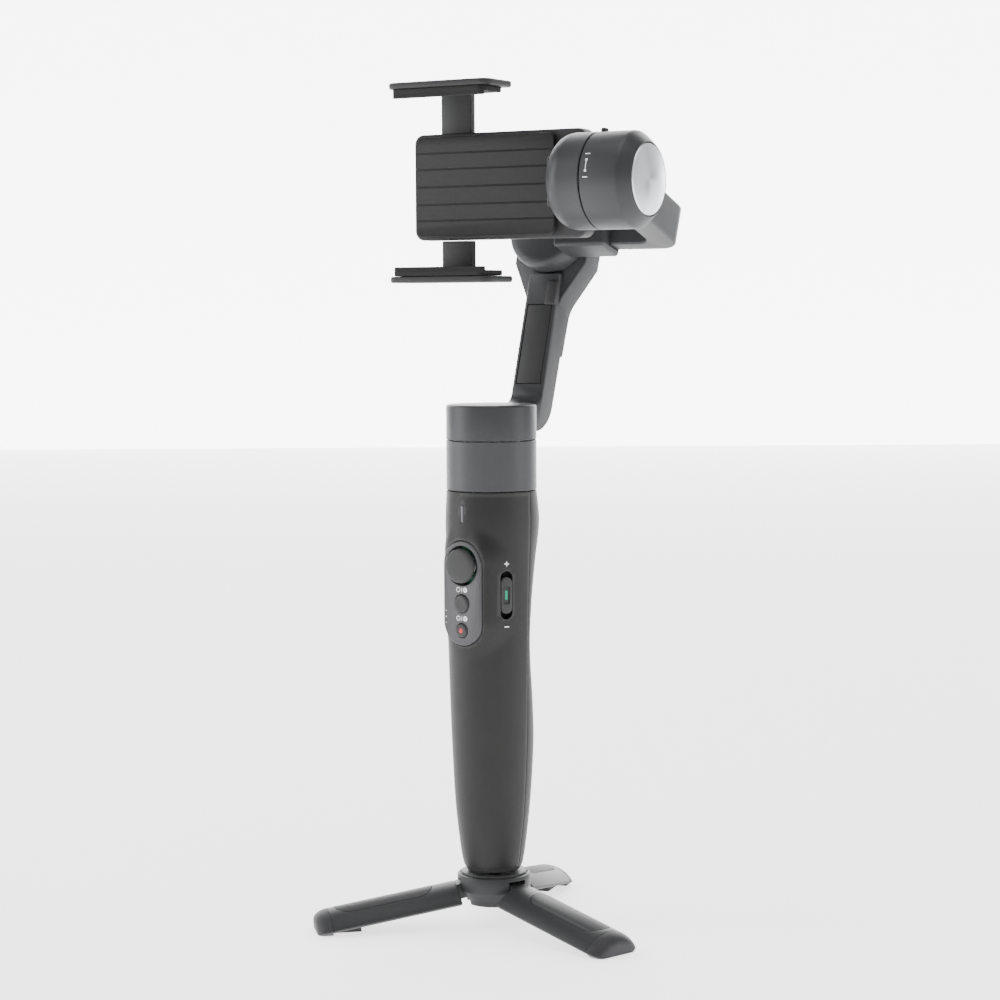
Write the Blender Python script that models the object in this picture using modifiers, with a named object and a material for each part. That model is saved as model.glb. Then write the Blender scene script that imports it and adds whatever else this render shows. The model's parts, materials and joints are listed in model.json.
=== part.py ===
"""A three-axis camera gimbal on a telescoping pole, a grip and a folding mini tripod.

Sizes are millimetres here and metres in Blender. The pan axis is vertical; the floor is z = 0.
The clamp faces -Y. Pieces are placed by empties that stand on the joints' axes.
"""
import math

import bmesh
import bpy
from mathutils import Matrix, Vector

MM = 0.001
GAP = 0.3
MERGE = 0.00001
FINE = 32
COARSE = 20
SMALL = 12

# Where the pan axis stands in the frame of the whole object (the floor's centre of the box).
AXIS_X = -5.93
AXIS_Y = -9.07

# Tripod
LEG_AZIMUTHS = (221.8, 341.8, 101.8)
LEG_DROOP = 9.5
LEG_PIVOT_R = 11.0
LEG_PIVOT_Z = 14.7
LEG_OUTER_R = 14.5
LEG_WALL = 2.4
LEG_HALF_ANGLE = 57.0
LEG_START = 4.7
LEG_END = 57.8
FOOT_END = 64.0
PIN_R = 1.2
HUB_R = 14.9
HUB_BOTTOM = 8.2
HUB_TOP = 20.6

# Handle: the grip faces 8.2 degrees to the left of the clamp
HANDLE_YAW = -8.2
HANDLE_BOTTOM = 22.3
HANDLE_TOP = 176.7
HANDLE_WALL = 1.8
SEAM_ANGLE = 96.0
# height, then the half depth in front, the half width and the half depth behind
HANDLE_SECTIONS = (
    (22.3, 11.2, 10.6, 10.4),
    (25.0, 12.8, 11.9, 11.7),
    (33.0, 14.3, 13.2, 13.0),
    (50.0, 16.1, 15.0, 15.0),
    (74.0, 17.2, 16.3, 16.7),
    (90.0, 17.9, 16.8, 15.2),
    (115.0, 18.6, 17.4, 10.7),
    (131.0, 18.7, 17.7, 12.3),
    (148.0, 18.8, 18.0, 16.4),
    (164.0, 19.2, 18.4, 20.3),
    (176.7, 18.2, 18.2, 18.2),
)
HANDLE_RINGS = 18
HALF_SHELL_STEPS = 10

# Telescoping pole
GUIDE_R = 8.2
GUIDE_BORE = 7.35
STAGE_R = 7.05
STAGE_BORE = 6.3
MAST_R = 6.0
MAST_BORE = 4.2
GUIDE_BOTTOM = 72.0
GUIDE_TOP = 171.0

# Control panel on the handle's front
PANEL_HALF_WIDTH = 9.6
PANEL_HALF_HEIGHT = 21.0
PANEL_Z = 136.5
PANEL_FRONT = 19.3
PANEL_BACK = 13.9
JOYSTICK_Z = 147.6
JOYSTICK_R = 7.1
JOYSTICK_PIVOT = 16.8
POWER_Z = 132.4
POWER_R = 3.6
RECORD_Z = 121.6
RECORD_R = 2.8
LIGHT_Z = 168.2
SLIDER_ANGLE = 57.0
SLIDER_Z = 136.0
SLIDER_SURFACE = 17.95
PORT_ANGLE = -62.0

# Pan motor
PAN_R = 18.2
PAN_STATOR_BOTTOM = 177.1
PAN_GAP_Z = 197.3
PAN_TOP = 211.4

# The roll and tilt axes cross here; the roll axis leans back and down
HEAD_Z = 299.0
ROLL_LEAN = 20.0

# Roll motor and cross arm, in the roll frame: X, distance behind the head centre, height
ROLL_R = 17.0
ROLL_GAP = 55.6
ROLL_BACK = 69.4
ROTOR_FRONT = 46.0
SLEEVE_LEFT = 10.5
SLEEVE_RIGHT = 34.3
SLEEVE_FRONT = 37.6
SLEEVE_BACK = 52.4
SLEEVE_LOW = -11.6
SLEEVE_HIGH = 8.6
BAR_FRONT = 42.9
BAR_BACK = 50.1
BAR_LOW = -9.4
BAR_HIGH = 6.4
BAR_END = 17.5
KNOB_X = 27.0
KNOB_BEHIND = 46.5

# Tilt motor, along X
TILT_R = 19.0
TILT_LEFT = 32.9
TILT_GAP_X = 50.6
LOCK_RIGHT = 53.2
TILT_RIGHT = 71.7
TILT_DISC_R = 13.9
BELL_R = 13.8
COIL_R = 12.0
SHAFT_R = 2.1
COIL_BORE = 2.5
BELL_PLATE = 0.8

# Phone clamp
CLAMP_LEFT = -45.0
CLAMP_RIGHT = 3.0
PHONE_LOW = 265.1
PHONE_HIGH = 336.0
PHONE_BACK = 3.9
JAW_FRONT = -7.0
JAW_BACK = 14.5
PAD_TALL = 2.2
JAW_TALL = 2.6
FRAME_LEFT = -40.0
FRAME_RIGHT = 40.0
FRAME_LOW = 277.5
FRAME_HIGH = 320.5
FRAME_FRONT = 6.6
FRAME_BACK = 15.0
ROD_XS = (-31.5, -10.5)
ROD_Y = 10.4
ROD_R = 1.5

COLLECTION = "camera_gimbal"

# finish name: colour, roughness, metallic
FINISHES = {
    "anodised": ((0.118, 0.120, 0.126), 0.46, 0.55),
    "shell": ((0.060, 0.060, 0.063), 0.52, 0.0),
    "panel": ((0.125, 0.124, 0.135), 0.50, 0.0),
    "rubber": ((0.022, 0.022, 0.024), 0.78, 0.0),
    "silver": ((0.72, 0.75, 0.77), 0.28, 1.0),
    "steel": ((0.50, 0.50, 0.52), 0.32, 1.0),
    "copper": ((0.72, 0.33, 0.12), 0.35, 1.0),
    "board": ((0.02, 0.14, 0.07), 0.55, 0.0),
    "cell": ((0.03, 0.10, 0.30), 0.45, 0.0),
    "lens": ((0.55, 0.57, 0.60), 0.25, 0.0),
}


# ---------------------------------------------------------------- scene and placing

def clear_scene():
    for obj in list(bpy.data.objects):
        bpy.data.objects.remove(obj, do_unlink=True)


def new_collection(name):
    found = bpy.data.collections.get(name)
    if found is None:
        found = bpy.data.collections.new(name)
        bpy.context.scene.collection.children.link(found)
    return found


def shift(x=0.0, y=0.0, z=0.0):
    return Matrix.Translation(Vector((x, y, z)) * MM)


def turn(degrees, axis):
    return Matrix.Rotation(math.radians(degrees), 4, axis)


def pivot(name, parent, place):
    """An empty on a joint's axis, placed in its parent's frame."""
    empty = bpy.data.objects.new(name, None)
    empty.empty_display_size = 0.01
    new_collection(COLLECTION).objects.link(empty)
    empty.parent = parent
    empty.matrix_local = place
    return empty


def finish_material(name, finish):
    colour, roughness, metallic = FINISHES[finish]
    material = bpy.data.materials.new(name + "_finish")
    material.use_nodes = True
    shader = material.node_tree.nodes["Principled BSDF"]
    shader.inputs["Base Color"].default_value = (*colour, 1.0)
    shader.inputs["Roughness"].default_value = roughness
    shader.inputs["Metallic"].default_value = metallic
    return material


def add(name, mesh, parent, place=None, finish=None):
    """Put a mesh in the object's collection, or with no finish in the cutters' collection."""
    mesh.name = name
    obj = bpy.data.objects.new(name, mesh)
    if finish is None:
        new_collection("cutters").objects.link(obj)
        obj.hide_render = True
        obj.display_type = "WIRE"
    else:
        new_collection(COLLECTION).objects.link(obj)
        mesh.materials.append(finish_material(name, finish))
        mesh.shade_smooth()
        mesh.set_sharp_from_angle(angle=math.radians(35.0))
    obj.parent = parent
    obj.matrix_local = place or Matrix.Identity(4)
    return obj


def boolean(obj, other, operation):
    modifier = obj.modifiers.new(operation.lower() + "_" + other.name, "BOOLEAN")
    modifier.operation = operation
    modifier.solver = "EXACT"
    modifier.object = other
    return obj


def cut(obj, *others):
    for other in others:
        boolean(obj, other, "DIFFERENCE")
    return obj


def join(obj, *others):
    for other in others:
        boolean(obj, other, "UNION")
    return obj


def keep_common(obj, other):
    return boolean(obj, other, "INTERSECT")


def bevel(obj, width, segments=2, angle=40.0):
    modifier = obj.modifiers.new("rounded_edges", "BEVEL")
    modifier.width = width * MM
    modifier.segments = segments
    modifier.limit_method = "ANGLE"
    modifier.angle_limit = math.radians(angle)
    return obj


# ---------------------------------------------------------------- mesh makers

def mesh_from(bm):
    mesh = bpy.data.meshes.new("mesh")
    bm.to_mesh(mesh)
    bm.free()
    return mesh


def box_mesh(low, high):
    bm = bmesh.new()
    bmesh.ops.create_cube(bm, size=1.0)
    low = Vector(low)
    high = Vector(high)
    bmesh.ops.scale(bm, vec=(high - low) * MM, verts=bm.verts)
    bmesh.ops.translate(bm, vec=(low + high) * 0.5 * MM, verts=bm.verts)
    return mesh_from(bm)


def rod_mesh(radius, start, end, steps=24, along="Z"):
    """A solid round bar from start to end along one axis."""
    bm = bmesh.new()
    bmesh.ops.create_cone(bm, cap_ends=True, segments=steps, radius1=radius * MM,
                          radius2=radius * MM, depth=(end - start) * MM)
    bmesh.ops.translate(bm, vec=(0.0, 0.0, (start + end) * 0.5 * MM), verts=bm.verts)
    bmesh.ops.transform(bm, matrix=axis_turn(along), verts=bm.verts)
    return mesh_from(bm)


def axis_turn(along):
    """The turn that lays the +Z axis along +X or +Y."""
    if along == "X":
        return turn(90.0, "Y")
    if along == "Y":
        return turn(-90.0, "X")
    return Matrix.Identity(4)


def turned_mesh(profile, steps=32, along="Z", closed=False):
    """A turned shape: (radius, height) points down the outer side, made solid by a Screw."""
    bm = bmesh.new()
    verts = [bm.verts.new((radius * MM, 0.0, height * MM)) for radius, height in profile]
    for first, second in zip(verts, verts[1:]):
        bm.edges.new((first, second))
    if closed:
        bm.edges.new((verts[-1], verts[0]))
    guide = bpy.data.objects.new("profile", mesh_from(bm))
    bpy.context.scene.collection.objects.link(guide)
    screw = guide.modifiers.new("screw", "SCREW")
    screw.axis = "Z"
    screw.steps = steps
    screw.render_steps = steps
    screw.use_merge_vertices = True
    screw.merge_threshold = MERGE
    mesh = evaluated_mesh(guide)
    mesh.transform(axis_turn(along))
    return mesh


def ring_mesh(outer, inner, start, end, steps=32, along="Z"):
    profile = ((outer, end), (outer, start), (inner, start), (inner, end))
    return turned_mesh(profile, steps, along, closed=True)


def evaluated_mesh(obj):
    """The object's final mesh with welded seams; the object is removed."""
    bpy.context.view_layer.update()
    graph = bpy.context.evaluated_depsgraph_get()
    mesh = bpy.data.meshes.new_from_object(obj.evaluated_get(graph))
    bpy.data.objects.remove(obj, do_unlink=True)
    bm = bmesh.new()
    bm.from_mesh(mesh)
    bmesh.ops.remove_doubles(bm, verts=bm.verts, dist=MERGE * 0.5)
    bm.to_mesh(mesh)
    bm.free()
    return mesh


def rounded(corners, steps=5):
    """An outline from (x, y, radius) corners, each round corner drawn as an arc."""
    points = []
    count = len(corners)
    for index, (x, y, radius) in enumerate(corners):
        here = Vector((x, y))
        if radius <= 0.0:
            points.append(here)
            continue
        back = (Vector(corners[index - 1][:2]) - here).normalized()
        ahead = (Vector(corners[(index + 1) % count][:2]) - here).normalized()
        half = back.angle(ahead) * 0.5
        centre = here + (back + ahead).normalized() * (radius / math.sin(half))
        first = here + back * (radius / math.tan(half))
        last = here + ahead * (radius / math.tan(half))
        sweep = (first - centre).angle_signed(last - centre)
        arm = first - centre
        for step in range(steps + 1):
            angle = -sweep * step / steps
            spoke = Vector((arm.x * math.cos(angle) - arm.y * math.sin(angle),
                            arm.x * math.sin(angle) + arm.y * math.cos(angle)))
            points.append(centre + spoke)
    return points


def obround(half_width, half_height, steps=8):
    """A slot shape standing up: straight sides and half-round ends."""
    radius = half_width
    straight = half_height - half_width
    points = []
    for end, start_angle in ((straight, 0.0), (-straight, 180.0)):
        for step in range(steps + 1):
            angle = math.radians(start_angle + 180.0 * step / steps)
            points.append(Vector((radius * math.cos(angle), end + radius * math.sin(angle))))
    return points


def slab_mesh(outline, low, high, plane="XY"):
    """A flat outline thickened from low to high across its plane.

    plane XY keeps (x, y) and thickens along Z; XZ draws (x, z) and thickens along Y;
    YZ draws (y, z) and thickens along X.
    """
    curve = bpy.data.curves.new("outline", "CURVE")
    curve.dimensions = "2D"
    curve.fill_mode = "BOTH"
    curve.extrude = (high - low) * 0.5 * MM
    spline = curve.splines.new("POLY")
    spline.points.add(len(outline) - 1)
    for point, position in zip(spline.points, outline):
        point.co = (position[0] * MM, position[1] * MM, 0.0, 1.0)
    spline.use_cyclic_u = True
    guide = bpy.data.objects.new("outline", curve)
    bpy.context.scene.collection.objects.link(guide)
    mesh = evaluated_mesh(guide)
    bpy.data.curves.remove(curve)
    mesh.transform(shift(z=(low + high) * 0.5))
    if plane == "XZ":
        mesh.transform(turn(90.0, "X"))
        mesh.transform(shift(y=low + high))
    if plane == "YZ":
        mesh.transform(turn(90.0, "Z") @ turn(90.0, "X"))
    return face_out(mesh)


def face_out(mesh):
    bm = bmesh.new()
    bm.from_mesh(mesh)
    bmesh.ops.recalc_face_normals(bm, faces=bm.faces)
    bm.to_mesh(mesh)
    bm.free()
    return mesh


def sector_outline(outer, inner, half_angle, centre_y, steps=12):
    """A piece of a ring seen along its length, its middle pointing up (+y)."""
    points = []
    for radius, sign in ((outer, 1.0), (inner, -1.0)):
        for step in range(steps + 1):
            angle = math.radians(half_angle) * sign * (2.0 * step / steps - 1.0)
            points.append(Vector((radius * math.sin(angle),
                                  centre_y + radius * math.cos(angle))))
    return points


def helix_mesh(radius, wire, start, end, turns, x, y):
    """A coil spring standing on Z, wound from start to end."""
    curve = bpy.data.curves.new("coil", "CURVE")
    curve.dimensions = "3D"
    curve.bevel_depth = wire * MM
    curve.bevel_resolution = 2
    curve.use_fill_caps = True
    per_turn = 8
    count = turns * per_turn
    spline = curve.splines.new("POLY")
    spline.points.add(count)
    for index, point in enumerate(spline.points):
        angle = 2.0 * math.pi * index / per_turn
        rise = start + (end - start) * index / count
        point.co = ((x + radius * math.cos(angle)) * MM, (y + radius * math.sin(angle)) * MM,
                    rise * MM, 1.0)
    guide = bpy.data.objects.new("coil", curve)
    bpy.context.scene.collection.objects.link(guide)
    mesh = evaluated_mesh(guide)
    bpy.data.curves.remove(curve)
    return face_out(mesh)


# ---------------------------------------------------------------- tripod

def build_tripod(root):
    hub_profile = ((0.0, HUB_TOP + 0.9), (13.2, HUB_TOP + 0.9), (13.6, HUB_TOP + 0.5),
                   (13.6, HUB_TOP - 0.3), (HUB_R - 0.6, HUB_TOP), (HUB_R, HUB_TOP - 0.6),
                   (HUB_R, 14.2), (11.6, 10.4), (11.2, HUB_BOTTOM),
                   (0.0, HUB_BOTTOM))
    hub = add("tripod_hub", turned_mesh(hub_profile, FINE), root, finish="anodised")
    screw_bore = add("cut_screw_bore", rod_mesh(3.5, 11.0, 30.0), root)
    cut(hub, screw_bore)
    screw_profile = ((0.0, 31.0), (2.6, 31.0), (3.15, 30.4), (3.15, 11.6), (0.0, 11.6))
    add("tripod_screw", turned_mesh(screw_profile, SMALL), root, finish="steel")
    pivots = []
    for number, azimuth in enumerate(LEG_AZIMUTHS, start=1):
        place = turn(azimuth, "Z") @ shift(LEG_PIVOT_R, 0.0, LEG_PIVOT_Z)
        slot = box_mesh((-3.8, -4.2, -12.0), (12.0, 4.2, 4.3))
        bore = rod_mesh(PIN_R + GAP, -6.3, 6.3, SMALL, "Y")
        cut(hub, add(f"cut_leg_slot_{number}", slot, root, place))
        cut(hub, add(f"cut_pin_bore_{number}", bore, root, place))
        pin = rod_mesh(PIN_R, -6.0, 6.0, SMALL, "Y")
        add(f"leg_pin_{number}", pin, root, place, "steel")
        leg_pivot = pivot(f"leg_{number}_pivot", root, place @ turn(LEG_DROOP, "Y"))
        build_leg(number, leg_pivot)
        pivots.append(leg_pivot)
    return pivots


def build_leg(number, leg_pivot):
    """A leg along +X of its pivot: a ring sector, its knuckle, its pad and its foot."""
    along_x = turn(90.0, "Z") @ turn(90.0, "X")
    shell_outline = sector_outline(LEG_OUTER_R, LEG_OUTER_R - LEG_WALL, LEG_HALF_ANGLE,
                                   -LEG_PIVOT_R)
    shell = slab_mesh(shell_outline, LEG_START, LEG_END, "YZ")
    leg = add(f"leg_{number}_shell", shell, leg_pivot, finish="anodised")
    knuckle_outline = rounded(((-3.4, -3.3, 3.2), (12.0, -3.3, 2.0), (12.0, 2.2, 0.0),
                               (7.0, 2.2, 1.5), (2.0, 3.4, 2.0), (-3.4, 3.4, 3.2)))
    knuckle = slab_mesh(knuckle_outline, -3.9, 3.9, "XZ")
    join(leg, add(f"join_knuckle_{number}", knuckle, leg_pivot))
    cut(leg, add(f"cut_knuckle_bore_{number}", rod_mesh(PIN_R + GAP, -5.0, 5.0, SMALL, "Y"),
                 leg_pivot))
    pad_centre = shift(x=34.6) @ turn(90.0, "Z")
    pocket_outline = sector_outline(LEG_OUTER_R + 2.0, LEG_OUTER_R - 1.0, 34.0, -LEG_PIVOT_R, 8)
    pocket = add(f"cut_pocket_{number}", slab_mesh(pocket_outline, 10.0, 57.0, "YZ"), leg_pivot)
    frame = slab_mesh(obround(6.5, 20.3), -5.0, 8.0)
    keep_common(pocket, add(f"keep_pocket_{number}", frame, leg_pivot, pad_centre))
    cut(leg, pocket)
    pad_outline = sector_outline(LEG_OUTER_R, LEG_OUTER_R - 0.7, 34.0, -LEG_PIVOT_R, 8)
    pad = add(f"leg_{number}_grip_pad", slab_mesh(pad_outline, 10.0, 57.0, "YZ"), leg_pivot,
              finish="rubber")
    keep_common(pad, add(f"keep_pad_{number}", slab_mesh(obround(6.2, 20.0), -5.0, 8.0),
                         leg_pivot, pad_centre))
    # the foot: a rounded nose past the shell, and a sole that runs in under it
    nose_outline = sector_outline(LEG_OUTER_R, LEG_OUTER_R, LEG_HALF_ANGLE, -LEG_PIVOT_R)[:13]
    nose_outline += [Vector((8.4, -6.1)), Vector((-8.4, -6.1))]
    foot = add(f"leg_{number}_foot", slab_mesh(nose_outline, LEG_END + GAP, FOOT_END, "YZ"),
               leg_pivot, finish="rubber")
    round_tip = slab_mesh(rounded(((40.0, -14.0, 0.0), (FOOT_END, -14.0, 9.0),
                                   (FOOT_END, 14.0, 9.0), (40.0, 14.0, 0.0))), -12.0, 8.0)
    sole = box_mesh((46.0, -5.6, -9.0), (LEG_END + 1.0, 5.6, -2.9))
    join(foot, add(f"join_sole_{number}", sole, leg_pivot))
    keep_common(foot, add(f"keep_tip_{number}", round_tip, leg_pivot))
    floor = box_mesh((30.0, -20.0, -LEG_PIVOT_Z - 12.0), (90.0, 20.0, -LEG_PIVOT_Z))
    cut(foot, add(f"cut_floor_{number}", floor, leg_pivot, turn(-LEG_DROOP, "Y")))


# ---------------------------------------------------------------- handle

def smooth_value(rows, height, column):
    """A Catmull-Rom value between the rows' heights."""
    last = len(rows) - 1
    index = 0
    while index < last - 1 and height > rows[index + 1][0]:
        index += 1
    low, high = rows[index], rows[index + 1]
    before = rows[max(index - 1, 0)]
    after = rows[min(index + 2, last)]
    span = high[0] - low[0]
    part = (height - low[0]) / span
    start_slope = (high[column] - before[column]) / (high[0] - before[0]) * span
    end_slope = (after[column] - low[column]) / (after[0] - low[0]) * span
    square = part * part
    cube = square * part
    return ((2 * cube - 3 * square + 1) * low[column] + (cube - 2 * square + part) * start_slope
            + (3 * square - 2 * cube) * high[column] + (cube - square) * end_slope)


def handle_point(angle, height, inset):
    """A point of the handle's wall; the angle is counted from the front, towards +X."""
    front, side, rear = (smooth_value(HANDLE_SECTIONS, height, column) - inset
                         for column in (1, 2, 3))
    depth = front if math.cos(angle) > 0.0 else rear
    return Vector((side * math.sin(angle), -depth * math.cos(angle), height)) * MM


def half_shell_mesh(first_angle, last_angle):
    """A lofted half of the handle's wall between two angles."""
    bm = bmesh.new()
    rings = []
    for ring in range(HANDLE_RINGS + 1):
        height = HANDLE_BOTTOM + (HANDLE_TOP - HANDLE_BOTTOM) * ring / HANDLE_RINGS
        points = []
        for inset, order in ((0.0, 1), (HANDLE_WALL, -1)):
            for step in range(HALF_SHELL_STEPS + 1)[::order]:
                angle = first_angle + (last_angle - first_angle) * step / HALF_SHELL_STEPS
                points.append(bm.verts.new(handle_point(math.radians(angle), height, inset)))
        rings.append(points)
    count = len(rings[0])
    for low, high in zip(rings, rings[1:]):
        for index in range(count):
            after = (index + 1) % count
            bm.faces.new((low[index], low[after], high[after], high[index]))
    half = HALF_SHELL_STEPS + 1
    for ring in (rings[0], rings[-1]):
        for index in range(half - 1):
            bm.faces.new((ring[index], ring[index + 1], ring[count - 2 - index],
                          ring[count - 1 - index]))
    bmesh.ops.recalc_face_normals(bm, faces=bm.faces)
    return mesh_from(bm)


def front_place(height, depth=0.0):
    """A frame on the handle's front: its own z points out of the handle, y is up."""
    return shift(0.0, -depth, height) @ turn(90.0, "X")


def side_place(angle, height, radius):
    """The same on the handle's side, at an angle from the front towards +X."""
    return turn(angle, "Z") @ front_place(height, radius)


def build_handle(root):
    handle = pivot("handle_frame", root, turn(HANDLE_YAW, "Z"))
    seam_gap = 0.5
    front = add("handle_front_shell",
                half_shell_mesh(-SEAM_ANGLE + seam_gap, SEAM_ANGLE - seam_gap), handle,
                finish="shell")
    add("handle_rear_shell",
        half_shell_mesh(SEAM_ANGLE + seam_gap, 360.0 - SEAM_ANGLE - seam_gap), handle,
        finish="shell")
    insert_profile = ((2.0, 34.0), (5.6, 34.0), (5.6, 27.0), (8.6, 26.5), (8.6, 22.8),
                      (3.5, 22.8), (3.5, 32.5), (2.0, 32.5))
    add("base_insert", turned_mesh(insert_profile, COARSE, closed=True), handle, finish="steel")
    add("battery_cell", rod_mesh(8.5, 36.0, 70.0, COARSE), handle, finish="cell")
    add("pole_guide", ring_mesh(GUIDE_R, GUIDE_BORE, GUIDE_BOTTOM, GUIDE_TOP, FINE), handle,
        finish="steel")
    add("handle_top_collar", ring_mesh(16.0, GUIDE_BORE, GUIDE_TOP + GAP, 176.2, FINE), handle,
        finish="panel")
    board = box_mesh((-8.2, -12.6, 113.0), (8.2, -11.2, 160.0))
    add("main_board", board, handle, finish="board")
    build_panel(handle, front)
    build_slider(handle, front)
    build_port(handle, front)
    return handle


def build_panel(handle, front):
    place = front_place(PANEL_Z)
    hole = slab_mesh(obround(PANEL_HALF_WIDTH + GAP, PANEL_HALF_HEIGHT + GAP), 8.0, 25.0)
    cut(front, add("cut_panel_hole", hole, handle, place))
    panel_mesh = slab_mesh(obround(PANEL_HALF_WIDTH, PANEL_HALF_HEIGHT, 10), PANEL_BACK,
                           PANEL_FRONT)
    panel = add("control_panel", panel_mesh, handle, place, "panel")
    for name, height, radius in (("joystick", JOYSTICK_Z, JOYSTICK_R + 1.0),
                                 ("power", POWER_Z, POWER_R + GAP),
                                 ("record", RECORD_Z, RECORD_R + GAP)):
        well = rod_mesh(radius, 10.0, 25.0, FINE)
        cut(panel, add(f"cut_{name}_well", well, handle, front_place(height)))
    ring_pivot = pivot("joystick_ring_pivot", handle, front_place(JOYSTICK_Z, JOYSTICK_PIVOT))
    add("joystick_ring", ring_mesh(5.4, 3.9, -1.0, 0.4, COARSE), ring_pivot, finish="steel")
    cap_profile = ((0.0, 5.2), (5.6, 5.3), (6.7, 5.0), (JOYSTICK_R, 4.1), (JOYSTICK_R, 2.0),
                   (6.2, 1.6), (3.0, 1.6), (3.0, -1.2), (0.0, -1.2))
    cap_pivot = pivot("joystick_pivot", ring_pivot, Matrix.Identity(4))
    add("joystick_cap", turned_mesh(cap_profile, COARSE), cap_pivot, finish="shell")
    for name, height, radius, proud in (("power_button", POWER_Z, POWER_R, 0.9),
                                        ("record_button", RECORD_Z, RECORD_R, 0.8)):
        front_face = PANEL_FRONT + proud
        profile = ((0.0, 0.0), (radius - 0.9, 0.0), (radius - 0.3, -0.25), (radius, -0.8),
                   (radius, -5.2), (0.0, -5.2))
        button_pivot = pivot(name + "_pivot", handle, front_place(height, front_face))
        add(name, turned_mesh(profile, COARSE), button_pivot, finish="shell")
    slit_place = front_place(LIGHT_Z)
    slit = slab_mesh(obround(0.85, 3.7, 4), 14.0, 25.0)
    cut(front, add("cut_light_slit", slit, handle, slit_place))
    add("status_light_lens", slab_mesh(obround(0.62, 3.45, 4), 17.0, 18.95), handle, slit_place,
        "lens")


def build_slider(handle, front):
    place = side_place(SLIDER_ANGLE, SLIDER_Z, 0.0)
    slot = slab_mesh(obround(2.7, 9.7, 6), 13.5, 25.0)
    cut(front, add("cut_slider_slot", slot, handle, place))
    slider_pivot = pivot("slider_pivot", handle, side_place(SLIDER_ANGLE, SLIDER_Z,
                                                            SLIDER_SURFACE))
    knob = add("zoom_slider", slab_mesh(obround(2.35, 7.35, 6), -3.6, 0.75), slider_pivot,
               finish="shell")
    bevel(knob, 0.5, 1)
    grip = slab_mesh(rounded(((-1.2, -3.0, 0.6), (1.2, -3.0, 0.6), (1.2, 3.0, 0.6),
                              (-1.2, 3.0, 0.6)), 3), 0.2, 3.0)
    cut(knob, add("cut_slider_dimple", grip, slider_pivot))


def build_port(handle, front):
    place = side_place(PORT_ANGLE, SLIDER_Z, 0.0)
    hole = slab_mesh(obround(2.0, 4.9, 6), 12.0, 25.0)
    cut(front, add("cut_port_hole", hole, handle, place))
    port = add("charge_port", slab_mesh(obround(1.65, 4.5, 6), 11.0, 17.2), handle, place,
               "steel")
    socket = slab_mesh(obround(1.25, 4.1, 6), 12.0, 20.0)
    cut(port, add("cut_port_socket", socket, handle, place))


# ---------------------------------------------------------------- pole and motors

def build_pole(root):
    stage = pivot("pole_stage_pivot", root, Matrix.Identity(4))
    add("pole_middle_tube", ring_mesh(STAGE_R, STAGE_BORE, 78.0, 175.8, FINE), stage,
        finish="steel")
    mast = pivot("pole_head_pivot", stage, Matrix.Identity(4))
    add("pole_inner_tube", ring_mesh(MAST_R, MAST_BORE, 80.0, 181.0, FINE), mast, finish="steel")
    housing_profile = ((PAN_R, PAN_GAP_Z - GAP), (PAN_R, PAN_STATOR_BOTTOM), (6.3,
                       PAN_STATOR_BOTTOM), (6.3, 182.0), (16.3, 182.0), (16.3, PAN_GAP_Z - GAP))
    add("pan_motor_housing", turned_mesh(housing_profile, FINE, closed=True), mast,
        finish="anodised")
    add("pan_motor_coil", ring_mesh(COIL_R, COIL_BORE, 182.6, 192.4, COARSE), mast, finish="copper")
    pan = pivot("pan_pivot", mast, Matrix.Identity(4))
    cap_profile = ((0.0, PAN_TOP), (PAN_R - 0.7, PAN_TOP), (PAN_R, PAN_TOP - 0.7),
                   (PAN_R, PAN_GAP_Z), (16.4, PAN_GAP_Z), (16.4, 208.9), (0.0, 208.9))
    add("pan_rotor_cap", turned_mesh(cap_profile, FINE), pan, finish="anodised")
    bell_profile = ((0.0, 208.6), (15.6, 208.6), (15.6, 182.6), (13.2, 182.6), (13.2, 207.8),
                    (SHAFT_R, 207.8), (SHAFT_R, 183.6), (0.0, 183.6))
    add("pan_rotor_bell", turned_mesh(bell_profile, FINE), pan, finish="steel")
    return pan


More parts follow.
